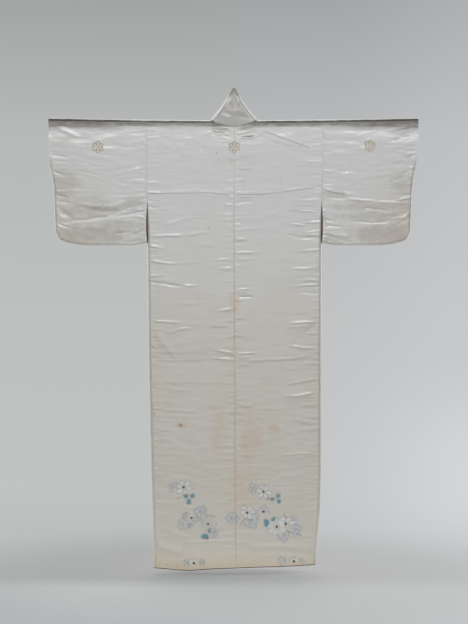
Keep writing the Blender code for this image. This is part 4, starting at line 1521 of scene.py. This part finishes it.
class Embroidery:
    """Gathers the stitches of each colour of thread and lays them on one surface."""

    def __init__(self, surface, outwards):
        self.surface = surface
        self.outwards = outwards
        self.rows = {}

    def stitch(self, colour, x, z, turn, length, width, height=0.6, point=0.6):
        """A stitch from x, z along turn, in millimetres. point sharpens its two ends."""
        row = Stitch(x, z, turn, length, width, height, point)
        self.rows.setdefault(colour, []).append(row)

    def line(self, colour, start, end, width, height=0.6, cover=1.0):
        """A stitch from one place to another, or over the first part of the way."""
        run, rise = end[0] - start[0], end[1] - start[1]
        turn = math.degrees(math.atan2(rise, run))
        self.stitch(colour, start[0], start[1], turn, math.hypot(run, rise) * cover, width, height)

    def make(self, name, colours):
        """Turn the gathered stitches into one piece for each colour."""
        for colour, rows in self.rows.items():
            piece = new_piece(f"{name}_{colour}", lens_copies(len(rows)), [colours[colour]])
            bead = np.empty(len(piece.data.vertices) * 3)
            piece.data.vertices.foreach_get("co", bead)
            bead = bead.reshape(len(rows), -1, 3)
            table = np.array(rows)[:, :, None]
            x, z, turn, length, width, height, point = table.transpose(1, 0, 2)
            along = bead[:, :, 0] * length / 2
            across = bead[:, :, 1] * width / 2 * np.sqrt(1 - point * bead[:, :, 0] ** 2)
            turn = np.radians(turn)
            middle = along + length / 2
            world_x = (x + middle * np.cos(turn) - across * np.sin(turn)) * MM
            world_z = (z + middle * np.sin(turn) + across * np.cos(turn)) * MM
            raised = bead[:, :, 2] * height * MM * self.outwards
            world_y = self.surface(world_x, world_z) + raised
            places = np.stack((world_x, world_y, world_z), axis=-1).reshape(-1, 3)
            cut = np.stack((across, along), axis=-1).reshape(-1, 2) * MM
            place_points(piece, places, cut)
            if self.outwards > 0:
                piece.data.flip_normals()
            print(piece.name, len(rows), "stitches")


# %% [markdown]
# Floss silk is hardly twisted, so its threads lie side by side and shine along the stitch. Each colour
# has a light and a dark shade, mixed by the threads and by slow changes of tone, as in old dyed silk.

# %% Thread colours
def make_thread(name, light, dark):
    """Floss silk: fine parallel threads along the stitch, with a soft gloss."""
    shader, wire, material = new_material(name)
    strand_sockets = {"Vector": wire.on_cut(), "Scale": 330.0, "Distortion": 2.0}
    strands = wire.node("ShaderNodeTexWave", {"bands_direction": "X"}, strand_sockets)
    tone = wire.noise(wire.place(), 90.0, 2.0)
    plug(shader, {
        "Base Color": wire.mixed(dark, light, (strands * 0.45 + tone * 0.75).rise(0.15, 0.85)),
        "Normal": wire.bump(strands, 0.5, 0.0003),
        "Roughness": 0.35,
        "Specular IOR Level": 0.8,
        "Sheen Weight": 0.2,
    })
    return material


THREAD_COLOURS = {
    "white": ((234, 236, 236), (206, 210, 212)),
    "mist": ((212, 217, 218), (188, 194, 198)),
    "slate": ((148, 160, 168), (116, 130, 140)),
    "lilac": ((212, 213, 218), (190, 192, 200)),
    "sage": ((212, 215, 208), (184, 190, 182)),
    "teal": ((116, 168, 184), (82, 136, 156)),
    "deep_teal": ((84, 126, 140), (58, 96, 112)),
    "brown": ((84, 60, 44), (40, 26, 18)),
    "stem": ((172, 148, 108), (128, 106, 74)),
    "rust": ((166, 118, 82), (112, 72, 48)),
    "cream": ((252, 246, 232), (238, 226, 198)),
}
THREADS = {
    name: make_thread(f"thread_{name}", linear(*light), linear(*dark))
    for name, (light, dark) in THREAD_COLOURS.items()
}
print(len(THREADS), "colours of thread")


# %% Petals and lobes
def shifted(x, z, turn, along, across):
    """A place a certain way along and across a direction from another place."""
    angle = math.radians(turn)
    cos, sin = math.cos(angle), math.sin(angle)
    return x + along * cos - across * sin, z + along * sin + across * cos


def lobe(work, x, z, turn, length, width, fill, edge, strands=5, cover=0.72, rim_width=1.15):
    """A petal or a lobe of a leaf: a fan of long stitches in a couched outline."""
    for index in range(strands):
        share = (index + 0.5) / strands * 2 - 1
        tip = shifted(x, z, turn, length * (1 - 0.20 * share ** 2) - 0.8, 0.43 * width * share)
        base = shifted(x, z, turn, 0.14 * length, 0.12 * width * share)
        work.line(fill, base, tip, width / strands * 1.05, 0.5)
    count = max(6, round(length / 2.2))
    rim = []
    for index in range(count + 1):
        angle = math.radians(mix(-150, 150, index / count))
        rim.append(shifted(x, z, turn, length * (0.54 + 0.46 * math.cos(angle)),
                           0.52 * width * math.sin(angle)))
    for start, end in zip(rim, rim[1:]):
        work.line(edge, start, end, rim_width, 0.6, cover)


# %% Flowers, leaves and twigs
STAMENS = 12
CENTRE_KNOTS = 6


def flower(work, x, z, radius, turn, petals=6, spread=360, seed=1, fill="white", edge="slate"):
    """Petals round a dark centre. A spread under 360 gives a half flower."""
    chance = random.Random(seed)
    for index in range(petals):
        angle = turn + spread * (index + 0.5) / petals - spread / 2 + chance.uniform(-6, 6)
        length = radius * chance.uniform(0.80, 1.12)
        width = radius * chance.uniform(0.58, 0.74)
        start_x, start_z = shifted(x, z, angle, 0.14 * radius, 0)
        lobe(work, start_x, start_z, angle, length, width, fill, edge, 6, 0.66)
    for index in range(STAMENS):
        lean = 360 / STAMENS * index
        work.stitch("cream", *shifted(x, z, lean, 4.2, 0), lean, 2.8, 1.5, 1.0)
    for index in range(CENTRE_KNOTS + 1):
        reach = 0.0 if index == CENTRE_KNOTS else 2.5
        start = shifted(x, z, 360 / CENTRE_KNOTS * index, reach, 0)
        work.stitch("brown", start[0] - 1.9, start[1], 0, 3.8, 3.6, 1.5, 0.0)


def lobed_leaf(work, x, z, size, turn, lobes=(0, 55, -55, 115, -115), fill="mist", edge="slate"):
    """A leaf with rounded lobes about one short vein."""
    for index, lean in enumerate(lobes):
        length = size * (0.64 if index == 0 else 0.52)
        lobe(work, x, z, turn + lean, length, size * 0.38, fill, edge, 5, 0.9, 1.3)
    for lean in lobes[:3]:
        work.line(edge, (x, z), shifted(x, z, turn + lean, size * 0.34, 0), 0.9, 0.8)


def trefoil(work, x, z, size, leaves):
    """Teal leaves, three or two, each from its own angle."""
    for index, angle in enumerate(leaves):
        length = size * (0.66 if index else 0.74)
        lobe(work, x, z, angle, length, size * 0.54, "teal", "deep_teal", 6, 0.9, 1.4)


def twig(work, points, colour="stem", width=1.7):
    """A stem as a row of slanting stitches along a bent line."""
    for (x0, z0), (x1, z1) in zip(points, points[1:]):
        length = math.hypot(x1 - x0, z1 - z0)
        turn = math.degrees(math.atan2(z1 - z0, x1 - x0))
        count = max(1, round(length / 4.0))
        for index in range(count):
            share = index / count
            start = (mix(x0, x1, share), mix(z0, z1, share))
            work.stitch(colour, *start, turn + 6, length / count * 1.5, width, 0.7, 0.5)


# %% [markdown]
# The sprays are laid out one after the other, each with its blossoms, the leaves round them and its
# twigs. Nearly all lie in a band above the hem, with two more that the hem cuts off.

# %% Sprays on the back, near the hem
back_work = Embroidery(back_surface, -1)
flower(back_work, -172, -1246, 26, 20, seed=1)
lobed_leaf(back_work, -204, -1249, 38, 150, (0, 70, -60, -110))
trefoil(back_work, -153, -1282, 34, (-95, 28, 155))
twig(back_work, [(-198, -1284), (-188, -1283), (-181, -1280)])
twig(back_work, [(-171, -1253), (-170, -1259)], "brown", 1.4)

flower(back_work, 102, -1261, 25, 80, seed=2)
lobed_leaf(back_work, 68, -1252, 36, 120, (0, 70, -75, 150))
trefoil(back_work, 146, -1287, 30, (62, -40))
trefoil(back_work, 144, -1287, 26, (178,))
lobed_leaf(back_work, 122, -1284, 20, 200, (0, 60, -60), "mist")

lobed_leaf(back_work, -116, -1334, 48, 58, (0, 42, -42, 95, -95), "lilac")
lobed_leaf(back_work, -120, -1344, 32, 225, (0, 50, -50), "sage")
flower(back_work, -145, -1351, 22, 270, petals=4, spread=190, seed=3, fill="lilac")
lobed_leaf(back_work, -160, -1346, 30, 150, (0, 50, -50), "sage")
lobed_leaf(back_work, -170, -1370, 44, 215, (0, 50, -50, 100, -100))
lobed_leaf(back_work, -152, -1372, 24, 280, (0, 60, -60))
flower(back_work, -88, -1372, 30, 0, petals=7, seed=4, fill="sage", edge="mist")
twig(back_work, [(-94, -1354), (-90, -1343), (-78, -1342), (-64, -1347)])
trefoil(back_work, -92, -1403, 36, (225, 40, 268))
lobed_leaf(back_work, -72, -1404, 36, 20, (0, 55, -55, 105, -105), "lilac")

lobed_leaf(back_work, -4, -1352, 42, 180, (0, 50, -50, 115, -115))
lobed_leaf(back_work, 2, -1352, 30, 0, (0, 60, -60), "mist")
flower(back_work, 46, -1333, 25, 90, seed=5)
lobed_leaf(back_work, 54, -1354, 62, 300, (0, 38, -38, 80, -80), "mist")
twig(back_work, [(21, -1380), (24, -1369), (32, -1362), (42, -1352)])
flower(back_work, 102, -1330, 24, 80, petals=5, spread=230, seed=6, fill="lilac", edge="mist")
trefoil(back_work, 124, -1366, 36, (35, 165, 212))

flower(back_work, 147, -1382, 34, 300, petals=9, seed=7)
flower(back_work, 178, -1372, 30, 60, petals=3, spread=140, seed=8)
lobed_leaf(back_work, 206, -1392, 46, 15, (0, 45, -45, 95, -95))
lobed_leaf(back_work, 170, -1408, 46, 280, (0, 50, -50, 100, -100), "lilac")
lobed_leaf(back_work, 204, -1358, 36, 60, (0, 50, -50), "lilac", "mist")
twig(back_work, [(184, -1396), (194, -1403), (212, -1404), (232, -1411)], "brown")
twig(back_work, [(170, -1334), (176, -1345), (180, -1356)], "brown", 1.3)

# %% Sprays cut by the hem
flower(back_work, -137, -1506, 17, 90, petals=5, spread=200, seed=9)
lobed_leaf(back_work, -152, -1505, 38, 176, (0, 40, -30), "lilac")
lobed_leaf(back_work, -120, -1504, 38, 6, (0, 30, -30), "sage")
flower(back_work, 206, -1500, 17, 90, petals=5, spread=200, seed=10)
lobed_leaf(back_work, 180, -1496, 46, 178, (0, 35, -20))
lobed_leaf(back_work, 228, -1500, 28, 4, (0, 45, -30))
back_work.stitch("brown", -233, -1511, 20, 4, 3, 1.2)
back_work.stitch("brown", -199, -1515, 0, 4, 3, 1.2)
back_work.make("embroidery_back", THREADS)

# %% Sprays of the same kind on the front, which the picture doesn't show
front_work = Embroidery(front_surface, 1)
flower(front_work, -60, -1260, 26, 200, seed=21)
lobed_leaf(front_work, -30, -1270, 36, 30)
trefoil(front_work, -78, -1300, 32, (-90, 20, 150))
flower(front_work, 40, -1390, 30, 90, petals=7, seed=22)
lobed_leaf(front_work, 8, -1380, 42, 170)
lobed_leaf(front_work, 62, -1420, 42, 300, fill="lilac")
flower(front_work, -52, -1420, 26, 0, seed=23)
lobed_leaf(front_work, -80, -1400, 36, 130, fill="sage")
twig(front_work, [(-20, -1404), (0, -1408), (18, -1402)], "brown")
front_work.make("embroidery_front", THREADS)


# %% [markdown]
# ## Running stitches
# Lines of small cream stitches hold the lining to the satin along the side seams. They run on the sleeve,
# from the rod to the end of the armhole, and on the body from the end of the slit down to the hem. The
# thread goes under the cloth and comes up again at an even pitch, so each visible stitch is followed by a
# short tan one, where the thread dives. A loop lays them, with a little chance in where each one starts.

# %% Running stitches beside the side seams
STITCH_PITCH = 8.3
BODY_STITCH_OFFSET = -6.2
SLEEVE_STITCH_OFFSET = 4.2


def running_stitches(work, side, offset, top, bottom, seed):
    """Stitches along a side seam, a set way outside it, or inside it where the offset is negative."""
    chance = random.Random(seed)
    z = top
    while z > bottom:
        x = side * (side_seam(side, z * MM) + offset * MM) / MM
        work.stitch("cream", x, z + chance.uniform(-0.6, 0.6), -90, 4.0, 1.6, 0.4)
        work.stitch("stem", x + chance.uniform(-0.3, 0.3), z - 4.6, -90, 2.0, 1.2, 0.3)
        z -= STITCH_PITCH


seam_work = Embroidery(back_surface, -1)
for side in (LEFT, RIGHT):
    running_stitches(seam_work, side, BODY_STITCH_OFFSET, -420, -1498, 60 + side)
    sleeve_work = Embroidery(partial(sleeve_surface, side), -1)
    running_stitches(sleeve_work, side, SLEEVE_STITCH_OFFSET, -14, -250, 70 + side)
    sleeve_work.make(f"running_stitch_sleeve_{SIDE_NAMES[side]}", THREADS)
seam_work.make("running_stitch", THREADS)

# %% [markdown]
# ## Worked rosettes
# A small rosette is worked at the top of the centre seam and on each sleeve. Its six petals are the lobes
# used above, cream with wide brown edges, each with one brown knot near its tip, round a cream and brown
# middle.

# %% Rosettes
ROSETTES = {"back": (1.5, -79), "sleeve_left": (-466, -79), "sleeve_right": (467, -74)}


def rosette(work, x, z):
    """Six petals with a knot each, and a knotted middle."""
    for index in range(6):
        turn = 90 + 60 * index
        lobe(work, *shifted(x, z, turn, 3.4, 0), turn, 16.6, 13.0, "cream", "rust", 5, 0.9, 2.3)
        work.stitch("brown", *shifted(x, z, turn, 11.4, 0), turn, 3.4, 3.0, 0.9, 0.1)
    for index in range(6):
        work.stitch("cream", *shifted(x, z, 60 * index, 1.2, 0), 60 * index, 3.0, 2.6, 1.2, 0.2)
    work.stitch("brown", x - 1.5, z, 0, 3.0, 3.0, 1.5, 0.0)


for where, (place_x, place_z) in ROSETTES.items():
    sleeve_face = partial(sleeve_surface, LEFT if place_x < 0 else RIGHT)
    rosette_work = Embroidery(back_surface if where == "back" else sleeve_face, -1)
    rosette(rosette_work, place_x, place_z)
    rosette_work.make(f"rosette_{where}", THREADS)

# %% [markdown]
# ## Floor, backdrop and lamps
# The garment hangs in front of a plain grey sweep. A wall would hide it from behind, so only a round
# patch of floor is modelled, which fades at its rim into a sky of the backdrop's grey. What the camera
# sees of the sweep is painted lighter to the right and towards the front, with painted shadow under the
# hem, while the cloth gets its light from a warmer, brighter floor than that.

# %% Floor
FLOOR_Z = -1.545
FLOOR_RADIUS = 1.4
FLOOR_SIDES = 96
shape = bmesh.new()
bmesh.ops.create_circle(shape, cap_ends=True, segments=FLOOR_SIDES, radius=FLOOR_RADIUS)
bmesh.ops.translate(shape, verts=shape.verts, vec=(0.0, 0.0, FLOOR_Z))
floor_mesh = bpy.data.meshes.new("floor")
shape.to_mesh(floor_mesh)
shape.free()
floor = bpy.data.objects.new("floor", floor_mesh)
bpy.context.scene.collection.objects.link(floor)

# %% The floor's paint, as seen and as the cloth is lit by it
FLOOR_FAR_LEFT = (0.226, 0.232, 0.236, 1.0)
FLOOR_FAR_RIGHT = (0.306, 0.310, 0.314, 1.0)
FLOOR_NEAR_LEFT = (0.380, 0.384, 0.390, 1.0)
FLOOR_NEAR_RIGHT = (0.380, 0.386, 0.392, 1.0)
FLOOR_SHADE = (0.110, 0.112, 0.112, 1.0)
FLOOR_LIT = (0.57, 0.56, 0.535, 1.0)


def make_floor_paint():
    """Paint that glows, lighter to the right and towards the front, with a painted shadow under the hem and a
    rim that the camera sees through.
    """
    shader, wire, material = new_material("floor_paint")
    place = wire.place()
    flat = wire.stretched(place, (1.0, 1.0, 0.0))
    reach = wire.node("ShaderNodeVectorMath", {"operation": "LENGTH"}, {0: flat}, out="Value")
    seen = wire.node("ShaderNodeLightPath", {}, {}, out="Is Camera Ray")
    across, along = place.part("X"), place.part("Y")
    # Painted light and shadow as the camera sees it: lighter to the right and towards the front, darker under
    # the hem.
    right = across.rise(-0.7, 0.4)
    far = wire.mixed(FLOOR_FAR_LEFT, FLOOR_FAR_RIGHT, right)
    near = wire.mixed(FLOOR_NEAR_LEFT, FLOOR_NEAR_RIGHT, right)
    glow = wire.mixed(far, near, along.rise(-0.05, -0.30))
    depth = along - 0.03
    spread = across * across * 13.0 + depth * depth * 220.0
    glow = wire.mixed(glow, FLOOR_SHADE, spread.rise(1.2, 0.2) * 0.55)
    plug(shader, {
        "Emission Color": wire.mixed(FLOOR_LIT, glow, seen),
        "Emission Strength": 1.0,
        "Base Color": linear(88, 89, 90),
        "Roughness": 0.8,
    })
    paint = Wire(wire.tree, shader.outputs[0])
    clear = wire.node("ShaderNodeBsdfTransparent", {}, {})
    faded = wire.node("ShaderNodeMixShader", {}, {0: reach.rise(0.30, 1.25) * seen, 1: paint, 2: clear})
    plug(wire.tree.nodes["Material Output"], {"Surface": faded})
    return material


floor_mesh.materials.append(make_floor_paint())
print("floor at", FLOOR_Z, "m, fading out", FLOOR_RADIUS, "m from the middle")


# %% [markdown]
# The sky does two jobs. To the camera it is the backdrop: nearly the same grey all over, a little lighter
# to the right, darker at the top and a little darker just below the horizon, with a painted patch of light
# low on the right. To the cloth it is the room's light: the side before the cloth is dark above, which
# darkens the cloth where it turns over the rod along with the shade painted there, and the far side is
# bright, since no lamp stands there.

# %% Backdrop and room light, from straight down, 0, to straight up, 1
BACKDROP_GREYS = (
    (0.395, (176, 180, 183), (188, 190, 191)),
    (0.405, (174, 177, 179), (190, 191, 191)),
    (0.412, (174, 176, 176), (186, 187, 188)),
    (0.423, (187, 189, 189), (194, 196, 198)),
    (0.440, (193, 194, 194), (198, 200, 202)),
    (0.500, (190, 191, 191), (193, 194, 195)),
    (0.560, (183, 185, 185), (184, 186, 188)),
    (0.610, (160, 162, 162), (161, 163, 165)),
    (1.000, (90, 91, 92), (90, 91, 92)),
)
LEFT_STOPS = [(place, linear(*left)) for place, left, right in BACKDROP_GREYS]
RIGHT_STOPS = [(place, linear(*right)) for place, left, right in BACKDROP_GREYS]
NEAR_STOPS = [
    (0.000, linear(140, 140, 138)),
    (0.480, linear(140, 140, 138)),
    (0.560, linear(110, 110, 110)),
    (0.660, linear(30, 30, 30)),
    (1.000, linear(16, 16, 16)),
]
FAR_STOPS = [
    (0.000, linear(140, 140, 138)),
    (0.450, linear(200, 200, 196)),
    (0.500, (1.6, 1.6, 1.5, 1.0)),
    (0.970, (1.6, 1.6, 1.5, 1.0)),
    (1.000, (0.9, 0.9, 0.9, 1.0)),
]


def make_sky():
    """A backdrop for the camera and a room's light for everything else."""
    world = bpy.data.worlds.new("backdrop")
    world.use_nodes = True
    bpy.context.scene.world = world
    wire = Wire(world.node_tree)
    way = wire.node("ShaderNodeTexCoord", {}, {}, out="Generated")
    up, right = way.part("Z"), way.part("X")
    level = up * 0.5 + 0.5

    def ramp(stops):
        return wire.node("ShaderNodeValToRGB", {"stops": stops}, {"Fac": level})

    seen = wire.mixed(ramp(LEFT_STOPS), ramp(RIGHT_STOPS), right.rise(-0.06, 0.08))
    # Painted light: a glow over the right of the backdrop, strongest in a band a little below the horizon.
    corner = right.rise(0.06, 0.17) * (0.10 + 0.20 * up.rise(-0.03, -0.10) * up.rise(-0.165, -0.13))
    seen = wire.mixed(seen, linear(238, 241, 248), corner)
    lit = wire.mixed(ramp(NEAR_STOPS), ramp(FAR_STOPS), way.part("Y").rise(0.05, 0.35))
    ray = wire.node("ShaderNodeLightPath", {}, {}, out="Is Camera Ray")
    plug(world.node_tree.nodes["Background"], {"Color": wire.mixed(lit, seen, ray)})


make_sky()
bpy.context.scene.view_settings.view_transform = "Standard"
print("sky with", len(BACKDROP_GREYS), "greys from bottom to top")

# %% [markdown]
# Three wide lamps on the camera's side, one above the other, light the satin head on. Pairs to the left
# and the right, the last one nearly in the cloth's own plane, light the outer edges and the shoulders.
# All are large, so that shadows stay soft, and none is seen itself.

# %% Lamps
def soft_lamp(name, place, aim, wide, high, power):
    """A rectangle that shines towards a point and that the camera doesn't see."""
    lamp = bpy.data.lights.new(name, "AREA")
    lamp.shape = "RECTANGLE"
    lamp.size = wide
    lamp.size_y = high
    lamp.energy = power
    piece = bpy.data.objects.new(name, lamp)
    piece.location = place
    piece.rotation_euler = (Vector(aim) - Vector(place)).to_track_quat("-Z", "Y").to_euler()
    piece.visible_camera = False
    bpy.context.scene.collection.objects.link(piece)


MIDDLE = (0.0, 0.0, -0.75)
UPPER_BACK = (0.0, 0.0, -0.2)
SHOULDERS = (0.0, 0.0, 0.05)
soft_lamp("lamp_front", (0.0, -5.4, 0.35), MIDDLE, 4.2, 1.5, 21)
soft_lamp("lamp_low", (0.0, -5.4, -1.20), MIDDLE, 4.2, 1.1, 16)
soft_lamp("lamp_high", (0.0, -4.0, 1.85), MIDDLE, 3.0, 0.9, 46)
soft_lamp("lamp_left", (-3.6, -2.4, 2.1), UPPER_BACK, 1.8, 1.8, 18)
soft_lamp("lamp_right", (3.6, -2.4, 2.1), UPPER_BACK, 1.8, 1.8, 16)
soft_lamp("lamp_side_left", (-3.1, -4.2, 1.4), UPPER_BACK, 1.6, 1.4, 9)
soft_lamp("lamp_side_right", (3.1, -4.2, 1.4), UPPER_BACK, 1.6, 1.4, 9)
soft_lamp("lamp_edge_left", (-3.4, -0.3, 2.4), SHOULDERS, 1.8, 1.8, 20)
soft_lamp("lamp_edge_right", (3.4, -0.3, 2.4), SHOULDERS, 1.8, 1.8, 12)
print(len(bpy.data.lights), "lamps")
